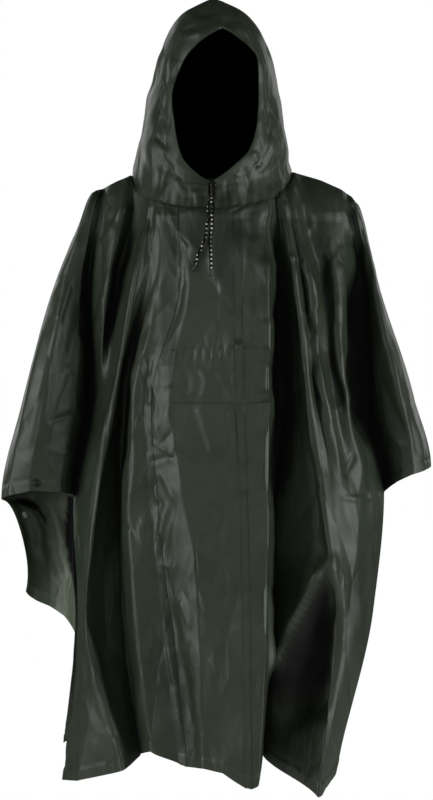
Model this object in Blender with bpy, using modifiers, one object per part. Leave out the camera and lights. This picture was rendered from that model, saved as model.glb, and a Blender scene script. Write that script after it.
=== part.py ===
"""Hooded rain poncho in its worn, hollow shape: two body panels that run on into
short wide sleeves, a two-piece hood with a corded face edge, a flap pocket,
felled front seams and snaps. Sizes are in millimetres, the scene is in metres.
The origin is the middle of the shoulder line, the front faces -Y.
`out` is the distance in front of the shoulder line, so y = -out."""

import math
from collections import namedtuple

import bpy
import numpy as np
from mathutils import Vector

MM = 0.001

# --- driving sizes -----------------------------------------------------------
WALL = 1.5  # coated cloth panel
PATCH_WALL = 1.0  # cloth sewn on top of a panel
LAYER_GAP = 0.3  # between a panel and what lies on it
SEAM_GAP = 0.3  # between two panels that are sewn edge to edge
CASING_GAP = 0.8  # between the hood and the cord tunnel on it
NECK_GAP = 0.6  # between the body's neck edge and the hood

NECK_X = -7.0  # middle of the neck ring
NECK_HALF_WIDTH = 131.0
NECK_FRONT = 128.0  # how far the ring reaches forward
NECK_BACK = 95.0
NECK_FRONT_Z = -37.0
NECK_BACK_Z = 31.0
NECK_LEFT_Z = 24.0
NECK_RIGHT_Z = 30.0

SHOULDER_Z = -55.0
CHEST_Z = -150.0
SLEEVE_SPREAD = 5.0  # how far the upper arm stands out past a straight line
WING_PULL = 21.0  # how far the open sleeve's free edge swings in below the cuff
WAIST_Z = -348.0

CORD_RADIUS = 2.2
CORD_CLEAR = 0.8  # between a cord and the cloth behind it
TIP_RADIUS = 2.9
SNAP_RADIUS = 6.0
SNAP_THICK = 2.4
SNAP_CLEAR = 0.9
STUD_RADIUS = 5.0

# Shoulder lines outside the neck ring: x, z
LEFT_SHOULDER = ((-197.0, -4.0), (-190.0, 0.0), (-160.0, 16.0), (-138.0, NECK_LEFT_Z))
RIGHT_SHOULDER = ((124.0, NECK_RIGHT_Z), (171.0, 16.0), (209.0, -3.0), (229.0, -21.0))

# --- folds of the front panel --------------------------------------------------
# One row per fold line, from the wearer's right sleeve to the left sleeve.
# cells: grid cells on to the next fold. x: at the neck or shoulder edge, the chest,
# the waist, the cuff, the thigh and the hem. out: at the shoulder, chest, waist,
# cuff, thigh and hem. Sleeve folds end at the cuff.
Fold = namedtuple("Fold", "name cells x out cuff_z thigh_z hem_z")
FRONT_FOLDS = (
    Fold("sleeve_top_r", 2, (-197, -264, -319, -353), (0, 0, 0, 0), -507, 0, 0),
    Fold("sleeve_front_r", 2, (-194, -260, -307, -336), (26, 34, 56, 50), -499, 0, 0),
    Fold("sleeve_mid_r", 2, (-190, -244, -276, -302), (42, 54, 76, 64), -491, 0, 0),
    Fold("sleeve_inner_r", 2, (-186, -217, -226, -254), (46, 48, 54, 52), -493, 0, 0),
    Fold("side_r", 2, (-182, -208, -209, -233, -226, -250), (38, 8, 2, 12, 12, 12), -500, -690, -965),
    Fold("ridge_1", 2, (-139, -173, -193, -214, -219, -225), (66, 86, 38, 42, 45, 55), -500, -690, -960),
    Fold("valley_1", 2, (-126, -161, -183, -204, -214, -196), (52, 46, 62, 66, 62, 75), -500, -690, -951),
    Fold("ridge_2", 1, (-104, -130, -164, -189, -210, -149), (98, 124, 110, 90, 78, 110), -500, -690, -935),
    Fold("valley_2", 1, (-94, -110, -148, -157, -152, -124), (108, 116, 72, 40, 38, 60), -500, -690, -916),
    Fold("ridge_3", 1, (-84, -90, -131, -140, -126, -104), (122, 130, 140, 136, 135, 130), -500, -690, -902),
    Fold("seam_r_a", 1, (-72, -67, -114, -105, -85, -58), (128, 138, 140, 140, 140, 135), -500, -690, -921),
    Fold("seam_r_b", 2, (-61, -56, -103, -94, -74, -46), (130, 142, 145, 146, 146, 142), -500, -690, -924),
    Fold("pocket_r", 3, (-43, -42, -72, -51, -37, -20), (138, 154, 164, 174, 175, 178), -500, -690, -922),
    Fold("middle", 2, (-7, -7, -13, -2, 2, 10), (142, 160, 170, 176, 178, 185), -500, -690, -928),
    Fold("seam_l_a", 1, (27, 28, 31, 38, 41, 44), (140, 162, 175, 184, 186, 195), -500, -690, -949),
    Fold("seam_l_b", 2, (38, 39, 42, 48, 52, 55), (138, 162, 175, 185, 187, 197), -500, -690, -951),
    Fold("strip_edge", 1, (76, 83, 83, 80, 78, 65), (122, 160, 178, 190, 190, 198), -500, -690, -946),
    Fold("strip_back", 1, (84, 91, 90, 86, 84, 69), (108, 136, 142, 150, 150, 150), -500, -690, -928),
    Fold("valley_3", 2, (94, 99, 102, 93, 91, 74), (92, 88, 82, 80, 80, 74), -500, -690, -912),
    Fold("ridge_4", 1, (104, 125, 148, 171, 189, 160), (102, 134, 145, 140, 145, 165), -500, -690, -969),
    Fold("valley_4", 1, (109, 136, 158, 186, 203, 166), (92, 114, 126, 134, 138, 150), -500, -690, -968),
    Fold("ridge_5", 2, (116, 150, 172, 201, 217, 172), (94, 126, 134, 127, 123, 132), -500, -690, -960),
    Fold("valley_5", 1, (125, 169, 190, 219, 230, 180), (76, 88, 106, 110, 102, 108), -500, -690, -954),
    Fold("ridge_6", 2, (166, 190, 208, 238, 243, 190), (66, 98, 108, 86, 74, 84), -500, -690, -944),
    Fold("side_l", 2, (211, 235, 242, 274, 257, 201), (40, 12, 8, 14, 0, 0), -494, -690, -924),
    Fold("sleeve_inner_l", 2, (216, 245, 264, 291), (48, 42, 46, 40), -479, 0, 0),
    Fold("sleeve_mid_l", 2, (221, 257, 297, 318), (42, 52, 72, 58), -464, 0, 0),
    Fold("sleeve_front_l", 2, (225, 263, 315, 340), (26, 34, 52, 42), -457, 0, 0),
    Fold("sleeve_top_l", 0, (229, 265, 326, 352), (0, 0, 0, 0), -453, 0, 0),
)

# --- folds of the back panel -----------------------------------------------------
# The same columns; here `out` is how far the fold lies behind the shoulder line.
# The right sleeve hangs open and runs on down to the thigh.
BACK_FOLDS = (
    Fold("sleeve_top_r", 2, (-197, -264, -319, -353, -314), (0, 0, 0, 0, 12), -507, -659, 0),
    Fold("sleeve_back_r", 2, (-194, -259, -309, -338, -302), (28, 38, 50, 46, 26), -512, -672, 0),
    Fold("sleeve_mid_r", 2, (-190, -242, -276, -302, -274), (42, 56, 66, 62, 34), -516, -686, 0),
    Fold("sleeve_inner_r", 2, (-186, -222, -240, -262, -252), (46, 48, 48, 52, 24), -518, -700, 0),
    Fold("side_r", 3, (-182, -206, -216, -238, -232, -248), (44, 34, 34, 38, -9, -9), -520, -724, -905),
    Fold("ridge_1", 3, (-139, -172, -184, -194, -200, -206), (58, 76, 86, 92, 74, 78), -520, -724, -898),
    Fold("valley_1", 3, (-118, -142, -150, -156, -160, -166), (76, 72, 68, 66, 62, 62), -520, -716, -890),
    Fold("ridge_2", 3, (-92, -104, -112, -112, -108, -116), (94, 104, 112, 122, 132, 138), -520, -710, -904),
    Fold("valley_2", 3, (-58, -66, -72, -66, -58, -62), (96, 96, 96, 98, 104, 110), -520, -706, -890),
    Fold("ridge_3", 3, (-22, -20, -26, -18, -8, -10), (108, 116, 126, 138, 148, 160), -520, -698, -908),
    Fold("valley_3", 3, (20, 26, 24, 34, 42, 44), (104, 104, 108, 110, 112, 116), -518, -694, -893),
    Fold("ridge_4", 3, (56, 68, 70, 82, 92, 90), (100, 114, 126, 138, 150, 158), -514, -692, -910),
    Fold("valley_4", 3, (96, 112, 118, 128, 136, 126), (88, 86, 88, 92, 94, 100), -508, -690, -892),
    Fold("ridge_5", 3, (125, 150, 160, 172, 181, 158), (76, 88, 98, 106, 112, 118), -504, -690, -902),
    Fold("valley_5", 2, (160, 185, 198, 216, 219, 180), (58, 56, 60, 64, 62, 66), -500, -690, -896),
    Fold("side_l", 2, (211, 233, 245, 274, 257, 201), (46, 32, 30, 30, 0, 0), -494, -690, -898),
    Fold("sleeve_inner_l", 2, (216, 245, 268, 294), (46, 50, 48, 42), -479, 0, 0),
    Fold("sleeve_mid_l", 2, (221, 257, 296, 320), (40, 54, 64, 54), -462, 0, 0),
    Fold("sleeve_back_l", 2, (225, 263, 315, 342), (26, 36, 46, 38), -456, 0, 0),
    Fold("sleeve_top_l", 0, (229, 265, 326, 352), (0, 0, 0, 0), -453, 0, 0),
)

# Grid rows between the neck, shoulder, chest, waist, cuff, thigh and hem
FRONT_ROWS = (3, 4, 7, 5, 6, 7)
BACK_ROWS = (3, 3, 4, 3, 4, 4)
CUFF_LEVEL = 4
THIGH_LEVEL = 5

# --- rows of the hood ---------------------------------------------------------------
# centre_x: the middle seam; front, back: how far the section reaches each way.
# bend: how flat the row runs across the front. turn: how far round from the front
# the face edge lies, in degrees. Then x and z of the face edge and of the widest
# point, on the wearer's right and on the left.
HoodRow = namedtuple(
    "HoodRow",
    "name cells centre_x front back back_z bend turn"
    " right_edge_x right_edge_z right_side_x right_side_z"
    " left_edge_x left_edge_z left_side_x left_side_z",
)
HOOD_ROWS = (
    HoodRow("neck", 2, -7, 128, 95, 31, 1.0, 0, -7, -37, -138, 24, -7, -37, 124, 30),
    HoodRow("notch", 1, -7, 124, 100, 66, 1.2, 0, -8, -2, -133, 46, -6, -2, 117, 46),
    HoodRow("chin", 2, -7, 122, 104, 86, 1.4, 8, -26, 12, -129, 62, 22, 24, 113, 64),
    HoodRow("jaw", 2, -6, 120, 110, 112, 1.6, 22, -55, 44, -123, 84, 54, 58, 109, 86),
    HoodRow("cheek", 2, -5, 116, 120, 148, 1.8, 32, -66, 89, -115, 114, 64, 100, 103, 118),
    HoodRow("temple", 2, -4, 112, 130, 190, 2.0, 38, -71, 145, -105, 158, 67, 150, 96, 160),
    HoodRow("brow", 2, -3, 108, 132, 228, 2.0, 38, -66, 168, -94, 212, 66, 202, 86, 206),
    HoodRow("crown", 2, -3, 102, 126, 256, 2.4, 30, -49, 204, -80, 252, 54, 221, 72, 250),
    HoodRow("high", 2, -4, 95, 116, 268, 2.8, 16, -22, 232, -54, 286, 30, 240, 41, 288),
    HoodRow("top", 0, -8, 92, 104, 266, 3.2, 0, 9, 252, -8, 311, 9, 252, -8, 311),
)
CASING_COLUMNS = 2  # grid columns of the hood that the cord tunnel covers

# --- drawcord: x and z of each free end, from the notch down ---------------------------
CORD_PATHS = {
    "drawcord_right": (
        (-10, 1), (-12, -10), (-10, -22), (-5, -34), (-5, -46), (-11, -58),
        (-16, -70), (-17, -82), (-20, -94), (-25, -106), (-30, -118), (-34, -130),
    ),
    "drawcord_left": (
        (-3, 1), (-4, -10), (-4, -22), (-12, -34), (-13, -46), (-6, -58),
        (-8, -70), (-10, -82), (-11, -94), (-10, -106), (-9, -118), (-9, -130), (-9, -138),
    ),
}
TIP_LENGTH = 12.0
CORD_STEP_OUT = {"drawcord_right": 0.0, "drawcord_left": 7.0}


def smooth(knots, values, at):
    """Cubic curve through the values that never swings past them."""
    knots = np.asarray(knots, float)
    values = np.asarray(values, float)
    if len(knots) == 2:
        share = (np.asarray(at, float) - knots[0]) / (knots[1] - knots[0])
        return values[0] + (values[1] - values[0]) * share
    gaps = np.diff(knots)
    slopes = np.diff(values) / gaps
    tangents = np.zeros(len(knots))
    for i in range(1, len(knots) - 1):
        if slopes[i - 1] * slopes[i] > 0:
            first = 2 * gaps[i] + gaps[i - 1]
            second = gaps[i] + 2 * gaps[i - 1]
            tangents[i] = (first + second) / (first / slopes[i - 1] + second / slopes[i])
    tangents[0] = slopes[0]
    tangents[-1] = slopes[-1]
    at = np.asarray(at, float)
    part = np.clip(np.searchsorted(knots, at, side="right") - 1, 0, len(gaps) - 1)
    share = (at - knots[part]) / gaps[part]
    rise = share * share * (3 - 2 * share)
    lead = share * (1 - share) ** 2 * gaps[part] * tangents[part]
    tail = share * share * (share - 1) * gaps[part] * tangents[part + 1]
    return values[part] + (values[part + 1] - values[part]) * rise + lead + tail


def neck_point(x, behind):
    """(out, z) of the body's top edge at x: on the neck ring, or on a shoulder line."""
    across = (x - NECK_X) / NECK_HALF_WIDTH
    if across <= -1:
        return 0.0, float(np.interp(x, *zip(*LEFT_SHOULDER)))
    if across >= 1:
        return 0.0, float(np.interp(x, *zip(*RIGHT_SHOULDER)))
    along = math.sqrt(1 - across * across)
    side_z = NECK_LEFT_Z if across < 0 else NECK_RIGHT_Z
    middle_z = NECK_BACK_Z if behind else NECK_FRONT_Z
    reach = NECK_BACK if behind else NECK_FRONT
    return reach * along, side_z + (middle_z - side_z) * along


def fold_levels(fold, behind):
    """x, out and z of one fold at each level, from the top edge to the hem."""
    top_out, top_z = neck_point(fold.x[0], behind)
    xs = list(fold.x) + [fold.x[-1]] * (6 - len(fold.x))
    outs = list(fold.out) + [fold.out[-1]] * (6 - len(fold.out))
    cuff_z = fold.cuff_z
    thigh_z = fold.thigh_z or cuff_z - 150
    hem_z = fold.hem_z or thigh_z - 200
    share = (top_z - SHOULDER_Z) / (top_z - CHEST_Z)
    shoulder_x = xs[0] + (xs[1] - xs[0]) * share
    if "sleeve" in fold.name:
        shoulder_x += math.copysign(SLEEVE_SPREAD, xs[0])
    x = [xs[0], shoulder_x] + xs[1:]
    out = [top_out] + outs
    z = [top_z, SHOULDER_Z, CHEST_Z, WAIST_Z, cuff_z, thigh_z, hem_z]
    return x, out, z


def panel_grid(folds, rows, behind):
    """Points [row, column, xyz] of a body panel's outer face, and each fold's column."""
    levels = [fold_levels(fold, behind) for fold in folds]
    down = [0.0, 70.0, 165.0, 363.0, 515.0, 705.0, 945.0]
    at = []
    for level, count in enumerate(rows):
        for step in range(count):
            at.append(down[level] + (down[level + 1] - down[level]) * step / count)
    at.append(down[-1])
    at = np.array(at)
    x = np.array([smooth(down, level[0], at) for level in levels])
    out = np.array([smooth(down, level[1], at) for level in levels])
    z = np.array([np.interp(at, down, level[2]) for level in levels])
    for index, (_, fold_out, fold_z) in enumerate(levels):
        for row in range(rows[0]):
            turn = math.pi / 2 * row / rows[0]
            out[index, row] = fold_out[0] + (fold_out[1] - fold_out[0]) * math.sin(turn)
            z[index, row] = fold_z[0] + (fold_z[1] - fold_z[0]) * (1 - math.cos(turn))
    steps = np.hypot(np.diff(x, axis=0), np.diff(out, axis=0)).mean(axis=1)
    knots = np.concatenate([[0.0], np.cumsum(steps)])
    columns = []
    starts = {}
    for index, fold in enumerate(folds):
        starts[fold.name] = len(columns)
        width = knots[min(index + 1, len(folds) - 1)] - knots[index]
        cells = max(fold.cells, 1)
        columns += [knots[index] + width * step / cells for step in range(cells)]
    columns = np.array(columns)
    grid = np.zeros((len(at), len(columns), 3))
    for row in range(len(at)):
        grid[row, :, 0] = smooth(knots, x[:, row], columns)
        grid[row, :, 1] = -smooth(knots, out[:, row], columns)
        grid[row, :, 2] = np.interp(columns, knots, z[:, row])
    for column, across in enumerate(grid[0, :, 0]):
        edge_out, edge_z = neck_point(across, behind)
        grid[0, column, 1] = -edge_out
        grid[0, column, 2] = edge_z
    if behind:
        grid[:, :, 1] *= -1
    return grid, starts


def grid_normals(grid, outward, keep):
    """Unit normals of a grid from the cells that keep() accepts; outward turns them."""
    sums = np.zeros_like(grid)
    for row in range(grid.shape[0] - 1):
        for column in range(grid.shape[1] - 1):
            if keep(row, column):
                falling = grid[row + 1, column + 1] - grid[row, column]
                rising = grid[row, column + 1] - grid[row + 1, column]
                facing = np.cross(falling, rising) * outward
                sums[row:row + 2, column:column + 2] += facing / max(np.linalg.norm(facing), 1e-6)
    return sums / np.maximum(np.linalg.norm(sums, axis=2, keepdims=True), 1e-9)


def flatten(normals, chosen, axis=1):
    """Turns the chosen normals into the seam plane, so that the wall stays on its own side."""
    for row, column in chosen:
        normals[row, column, axis] = 0.0
        normals[row, column] /= np.linalg.norm(normals[row, column])


def shell_object(name, grid, normals, low, high, keep, material):
    """A closed wall between two offsets of a grid, over the cells that keep() accepts."""
    last_row, last_column = grid.shape[0] - 1, grid.shape[1] - 1
    outer = grid + normals * high
    inner = grid + normals * low
    corners = {}
    points = []
    top_faces = []

    def corner(row, column):
        if (row, column) not in corners:
            corners[row, column] = len(points) // 2
            points.append(outer[row, column])
            points.append(inner[row, column])
        return corners[row, column]

    for row in range(last_row):
        for column in range(last_column):
            if not keep(row, column):
                continue
            a = corner(row, column)
            b = corner(row + 1, column)
            c = corner(row + 1, column + 1)
            d = corner(row, column + 1)
            one = np.linalg.norm(grid[row, column] - grid[row + 1, column + 1])
            two = np.linalg.norm(grid[row + 1, column] - grid[row, column + 1])
            top_faces += [(a, b, c), (a, c, d)] if one <= two else [(a, b, d), (b, c, d)]
    first = top_faces[0]
    at = [points[2 * corner_index] for corner_index in first]
    facing = np.cross(at[1] - at[0], at[2] - at[0])
    leans = points[2 * first[0]] - points[2 * first[0] + 1]
    if np.dot(facing, leans) < 0:
        top_faces = [face[::-1] for face in top_faces]
    edges = {(face[i], face[(i + 1) % 3]) for face in top_faces for i in range(3)}
    faces = [tuple(2 * corner_index for corner_index in face) for face in top_faces]
    faces += [tuple(2 * corner_index + 1 for corner_index in face[::-1]) for face in top_faces]
    for start, end in sorted(edges):
        if (end, start) not in edges:
            faces.append((2 * end, 2 * start, 2 * start + 1))
            faces.append((2 * end, 2 * start + 1, 2 * end + 1))
    mesh = bpy.data.meshes.new(name)
    mesh.from_pydata((np.array(points) * MM).tolist(), [], faces)
    mesh.shade_smooth()
    return add_object(name, mesh, material)


def add_object(name, data, material):
    obj = bpy.data.objects.new(name, data)
    data.materials.append(material)
    collection.objects.link(obj)
    return obj


def make_material(name, colour, roughness, metallic=0.0):
    material = bpy.data.materials.new(name)
    material.use_nodes = True
    shader = material.node_tree.nodes["Principled BSDF"]
    shader.inputs["Base Color"].default_value = (*colour, 1.0)
    shader.inputs["Roughness"].default_value = roughness
    shader.inputs["Metallic"].default_value = metallic
    return material


def every_cell(row, column):
    return True


def hood_grid(side, shares):
    """Points [row, column, xyz] of one hood half; shares run from the face to the back."""
    fields = np.array([row[2:] for row in HOOD_ROWS], float)
    knots = np.arange(len(HOOD_ROWS), dtype=float)
    at = []
    for index, row in enumerate(HOOD_ROWS):
        at += [index + step / max(row.cells, 1) for step in range(max(row.cells, 1))]
    table = np.array([smooth(knots, fields[:, i], at) for i in range(fields.shape[1])]).T
    grid = np.zeros((len(at), len(shares), 3))
    first = 6 if side == "right" else 10
    for index, row in enumerate(table):
        centre_x, front, back, back_z, bend, turn = row[:6]
        edge_x, edge_z, side_x, side_z = row[first:first + 4]
        width = side_x - centre_x
        begin = math.radians(turn)
        shift = (edge_x - centre_x - width * math.sin(begin)) / math.cos(begin)
        for column, share in enumerate(shares):
            angle = begin + (math.pi - begin) * share
            along = math.cos(angle)
            x = centre_x + width * math.sin(angle)
            if along >= 0:
                x += shift * along
                drop = (along / math.cos(begin)) ** bend
                grid[index, column] = (x, -front * along, side_z + (edge_z - side_z) * drop)
            else:
                drop = (-along) ** bend
                grid[index, column] = (x, -back * along, side_z + (back_z - side_z) * drop)
    return grid


def neck_shares(front, back, side):
    """Share of the half turn round the neck at each column of the two body panels."""
    sign = -1 if side == "right" else 1
    shares = []
    for grid, behind in ((front, False), (back, True)):
        for x in grid[0, :, 0]:
            across = sign * (x - NECK_X) / NECK_HALF_WIDTH
            if 0 <= across < 0.995:
                angle = math.asin(across)
                shares.append((math.pi - angle if behind else angle) / math.pi)
    shares = sorted(set([0.0, 0.5, 1.0] + [round(share, 4) for share in shares]))
    kept = [0.0]
    for share in shares[1:]:
        if share - kept[-1] > 0.012 or share == 1.0:
            kept.append(share)
    return kept


def tube(name, points, radius, material):
    """A POLY curve through the points with a round, capped bevel."""
    curve = bpy.data.curves.new(name, "CURVE")
    curve.dimensions = "3D"
    curve.bevel_depth = radius * MM
    curve.bevel_resolution = 2
    curve.use_fill_caps = True
    spline = curve.splines.new("POLY")
    spline.points.add(len(points) - 1)
    for point, place in zip(spline.points, points):
        point.co = (*(np.asarray(place) * MM), 1.0)
    return add_object(name, curve, material)


def surface_at(grids, x, z):
    """Foremost y of the grids near x and z."""
    best = 0.0
    for grid in grids:
        near = np.abs(grid[:, :, 0] - x) + np.abs(grid[:, :, 2] - z)
        chosen = near < 26
        if chosen.any():
            best = min(best, float(grid[:, :, 1][chosen].min()))
    return best


def disc(name, place, normal, radius, thick, material):
    """A round snap part, its face along the normal."""
    bpy.ops.mesh.primitive_cylinder_add(vertices=20, radius=radius * MM, depth=thick * MM)
    obj = bpy.context.object
    obj.name = name
    obj.data.name = name
    for owner in list(obj.users_collection):
        owner.objects.unlink(obj)
    collection.objects.link(obj)
    obj.data.materials.append(material)
    obj.location = tuple(np.asarray(place) * MM)
    obj.rotation_mode = "QUATERNION"
    obj.rotation_quaternion = Vector(normal).to_track_quat("Z", "Y")
    bevel = obj.modifiers.new("Rim", "BEVEL")
    bevel.width = thick * 0.3 * MM
    bevel.segments = 2
    obj.data.shade_smooth()
    return obj


# --- scene ---------------------------------------------------------------------------
for old in list(bpy.data.objects):
    bpy.data.objects.remove(old, do_unlink=True)
collection = bpy.data.collections.new("rain_poncho")
bpy.context.scene.collection.children.link(collection)

CLOTH = (0.030, 0.040, 0.028)
front_cloth = make_material("front_nylon", CLOTH, 0.5)
back_cloth = make_material("back_nylon", CLOTH, 0.5)
hood_right_cloth = make_material("hood_right_nylon", CLOTH, 0.5)
hood_left_cloth = make_material("hood_left_nylon", CLOTH, 0.5)
casing_cloth = make_material("casing_nylon", CLOTH, 0.5)
pocket_cloth = make_material("pocket_nylon", CLOTH, 0.5)
flap_cloth = make_material("flap_nylon", CLOTH, 0.5)
strip_right_cloth = make_material("seam_right_nylon", CLOTH, 0.5)
strip_left_cloth = make_material("seam_left_nylon", CLOTH, 0.5)
cord_weave = make_material("cord_polyester", (0.010, 0.010, 0.010), 0.7)
cord_weave_left = make_material("cord_polyester_left", (0.010, 0.010, 0.010), 0.7)
tip_plastic = make_material("tip_plastic", (0.008, 0.008, 0.008), 0.4)
tip_plastic_left = make_material("tip_plastic_left", (0.008, 0.008, 0.008), 0.4)
cap_metal = make_material("snap_cap_enamel", (0.012, 0.014, 0.012), 0.3, 0.4)
stud_metal = make_material("snap_stud_steel", (0.55, 0.56, 0.55), 0.3, 1.0)
side_metal = make_material("side_snap_enamel", (0.012, 0.014, 0.012), 0.3, 0.4)

# --- body panels ---------------------------------------------------------------------
front, front_at = panel_grid(FRONT_FOLDS, FRONT_ROWS, behind=False)
back, back_at = panel_grid(BACK_FOLDS, BACK_ROWS, behind=True)
front[:, :, 1] -= SEAM_GAP / 2
back[:, :, 1] += SEAM_GAP / 2
front_cuff_row = sum(FRONT_ROWS[:CUFF_LEVEL])
back_cuff_row = sum(BACK_ROWS[:CUFF_LEVEL])
back_thigh_row = sum(BACK_ROWS[:THIGH_LEVEL])


def swing_wing(grid, at):
    """Pulls the open sleeve's free edge inwards between the cuff and the thigh."""
    count = back_thigh_row - back_cuff_row
    for row in range(back_cuff_row, back_thigh_row):
        share = (row - back_cuff_row) / count
        for column in range(at["side_r"]):
            reach = 1 - column / at["side_r"]
            grid[row, column, 0] += WING_PULL * reach * math.sin(math.pi * share ** 0.55)


def seam_points(grid, at, cuff_row):
    """(row, column) of each grid point on the shoulder lines, arm tops and closed side."""
    last_row, last_column = grid.shape[0] - 1, grid.shape[1] - 1
    found = [(row, 0) for row in range(cuff_row + 1)]
    found += [(row, last_column) for row in range(cuff_row + 1)]
    found += [(row, at["side_l"]) for row in range(cuff_row + 1, last_row + 1)]
    for column in range(1, last_column):
        if abs(grid[0, column, 0] - NECK_X) >= NECK_HALF_WIDTH:
            found.append((0, column))
    return found


def front_cells(row, column):
    return row < front_cuff_row or front_at["side_r"] <= column < front_at["side_l"]


def back_cells(row, column):
    if column < back_at["side_r"]:
        return row < back_thigh_row
    return row < back_cuff_row or column < back_at["side_l"]


swing_wing(back, back_at)
front_normals = grid_normals(front, 1, front_cells)
back_normals = grid_normals(back, -1, back_cells)
flatten(front_normals, seam_points(front, front_at, front_cuff_row))
flatten(back_normals, seam_points(back, back_at, back_cuff_row))
shell_object("front_panel", front, front_normals, -WALL, 0.0, front_cells, front_cloth)
shell_object("back_panel", back, back_normals, -WALL, 0.0, back_cells, back_cloth)

# --- pocket, flap and felled seams, each from the front panel's own points --------------
pocket_top = sum(FRONT_ROWS[:2]) + 4
flap_edge = sum(FRONT_ROWS[:3])
pocket_foot = flap_edge + 3
pocket_columns = range(front_at["pocket_r"], front_at["strip_edge"])
layer_one = LAYER_GAP
layer_two = layer_one + PATCH_WALL + LAYER_GAP
layer_three = layer_two + PATCH_WALL + LAYER_GAP


def pocket_cells(row, column):
    return pocket_top <= row < pocket_foot and column in pocket_columns


def flap_cells(row, column):
    return pocket_top <= row < flap_edge and column in pocket_columns


def strip_cells(column):
    return lambda row, at: at == column and row >= 1


shell_object(
    "pocket", front, front_normals, layer_one, layer_one + PATCH_WALL, pocket_cells, pocket_cloth
)
shell_object(
    "pocket_flap", front, front_normals, layer_two, layer_two + PATCH_WALL, flap_cells, flap_cloth
)
lifts = np.full(front.shape[:2] + (1,), layer_one)
lifts[pocket_top:pocket_foot + 1] = layer_three
lifted = front + front_normals * lifts
shell_object(
    "front_seam_left", lifted, front_normals, 0.0, PATCH_WALL,
    strip_cells(front_at["seam_l_a"]), strip_left_cloth,
)
shell_object(
    "front_seam_right", front, front_normals, layer_one, layer_one + PATCH_WALL,
    strip_cells(front_at["seam_r_a"]), strip_right_cloth,
)

# --- hood ----------------------------------------------------------------------------
hoods = {}
for side, cloth in (("right", hood_right_cloth), ("left", hood_left_cloth)):
    shares = neck_shares(front, back, side)
    hood = hood_grid(side, shares)
    hood[:, :, 2] += NECK_GAP
    normals = grid_normals(hood, 1 if side == "right" else -1, every_cell)
    seam = [(row, len(shares) - 1) for row in range(hood.shape[0])]
    seam += [(hood.shape[0] - 1, column) for column in range(len(shares) - 1)]
    seam += [(0, 0), (1, 0), (2, 0)]
    flatten(normals, seam, axis=0)
    hood[:, :, 0] += -SEAM_GAP / 2 if side == "right" else SEAM_GAP / 2
    shell_object("hood_" + side, hood, normals, -WALL, 0.0, every_cell, cloth)
    hoods[side] = (hood, normals)

# The cord tunnel runs up the right face edge, over the top and down the left one.
notch_row = HOOD_ROWS[0].cells
right_hood, right_normals = hoods["right"]
left_hood, left_normals = hoods["left"]
width = slice(0, CASING_COLUMNS + 1)
casing = np.concatenate([right_hood[notch_row:, width], left_hood[notch_row:-1, width][::-1]])
casing_normals = np.concatenate(
    [right_normals[notch_row:, width], left_normals[notch_row:-1, width][::-1]]
)
middle_row = right_hood.shape[0] - 1 - notch_row
casing[middle_row] = (right_hood[-1, width] + left_hood[-1, width]) / 2
shell_object(
    "face_casing", casing, casing_normals, CASING_GAP, CASING_GAP + PATCH_WALL,
    every_cell, casing_cloth,
)

# --- drawcord ------------------------------------------------------------------------
cloth_in_front = [front, right_hood, left_hood]
cord_materials = {
    "drawcord_right": (cord_weave, tip_plastic, "cord_tip_right"),
    "drawcord_left": (cord_weave_left, tip_plastic_left, "cord_tip_left"),
}
for name, path in CORD_PATHS.items():
    weave, plastic, tip_name = cord_materials[name]
    points = []
    for x, z in path:
        behind_cord = surface_at(cloth_in_front, x, z)
        y = behind_cord - PATCH_WALL - LAYER_GAP - CORD_CLEAR - CORD_RADIUS - CORD_STEP_OUT[name]
        points.append(np.array([x, y, z], float))
    heading = (points[-1] - points[-2]) / np.linalg.norm(points[-1] - points[-2])
    tube(name, points, CORD_RADIUS, weave)
    tip_start = points[-1] + heading * SEAM_GAP
    tube(tip_name, [tip_start, tip_start + heading * TIP_LENGTH], TIP_RADIUS, plastic)

# --- snaps ------------------------------------------------------------------


def on_cell(grid, normals, row, column, lift):
    """Middle of a grid cell, lifted off its face, and the direction it faces."""
    corners = grid[row:row + 2, column:column + 2].reshape(4, 3)
    facing = normals[row:row + 2, column:column + 2].reshape(4, 3).mean(axis=0)
    facing /= np.linalg.norm(facing)
    return corners.mean(axis=0) + facing * lift, facing


cap_lift = SNAP_CLEAR + SNAP_THICK / 2
place, facing = on_cell(front, front_normals, front_cuff_row - 1, front_at["sleeve_mid_r"], cap_lift)
disc("cuff_snap_cap", place, facing, SNAP_RADIUS, SNAP_THICK, cap_metal)
stud_lift = -WALL - SNAP_CLEAR - SNAP_THICK / 2
place, facing = on_cell(back, back_normals, back_cuff_row, back_at["sleeve_back_r"], stud_lift)
disc("cuff_snap_stud", place, facing, STUD_RADIUS, SNAP_THICK, stud_metal)
place, facing = on_cell(front, front_normals, sum(FRONT_ROWS[:5]), front_at["side_r"], cap_lift)
disc("side_snap_cap", place, facing, SNAP_RADIUS, SNAP_THICK, side_metal)
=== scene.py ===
"""Hooded rain poncho in coated nylon, worn shape with no wearer. Two body panels run
on into wide sleeves, the front one in three widths joined by felled seams, with a
two-piece hood, a corded face edge, a flap pocket, stitched hems and snaps.
Sizes in the tables are millimetres; the scene is in metres. The front faces -Y."""

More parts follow.
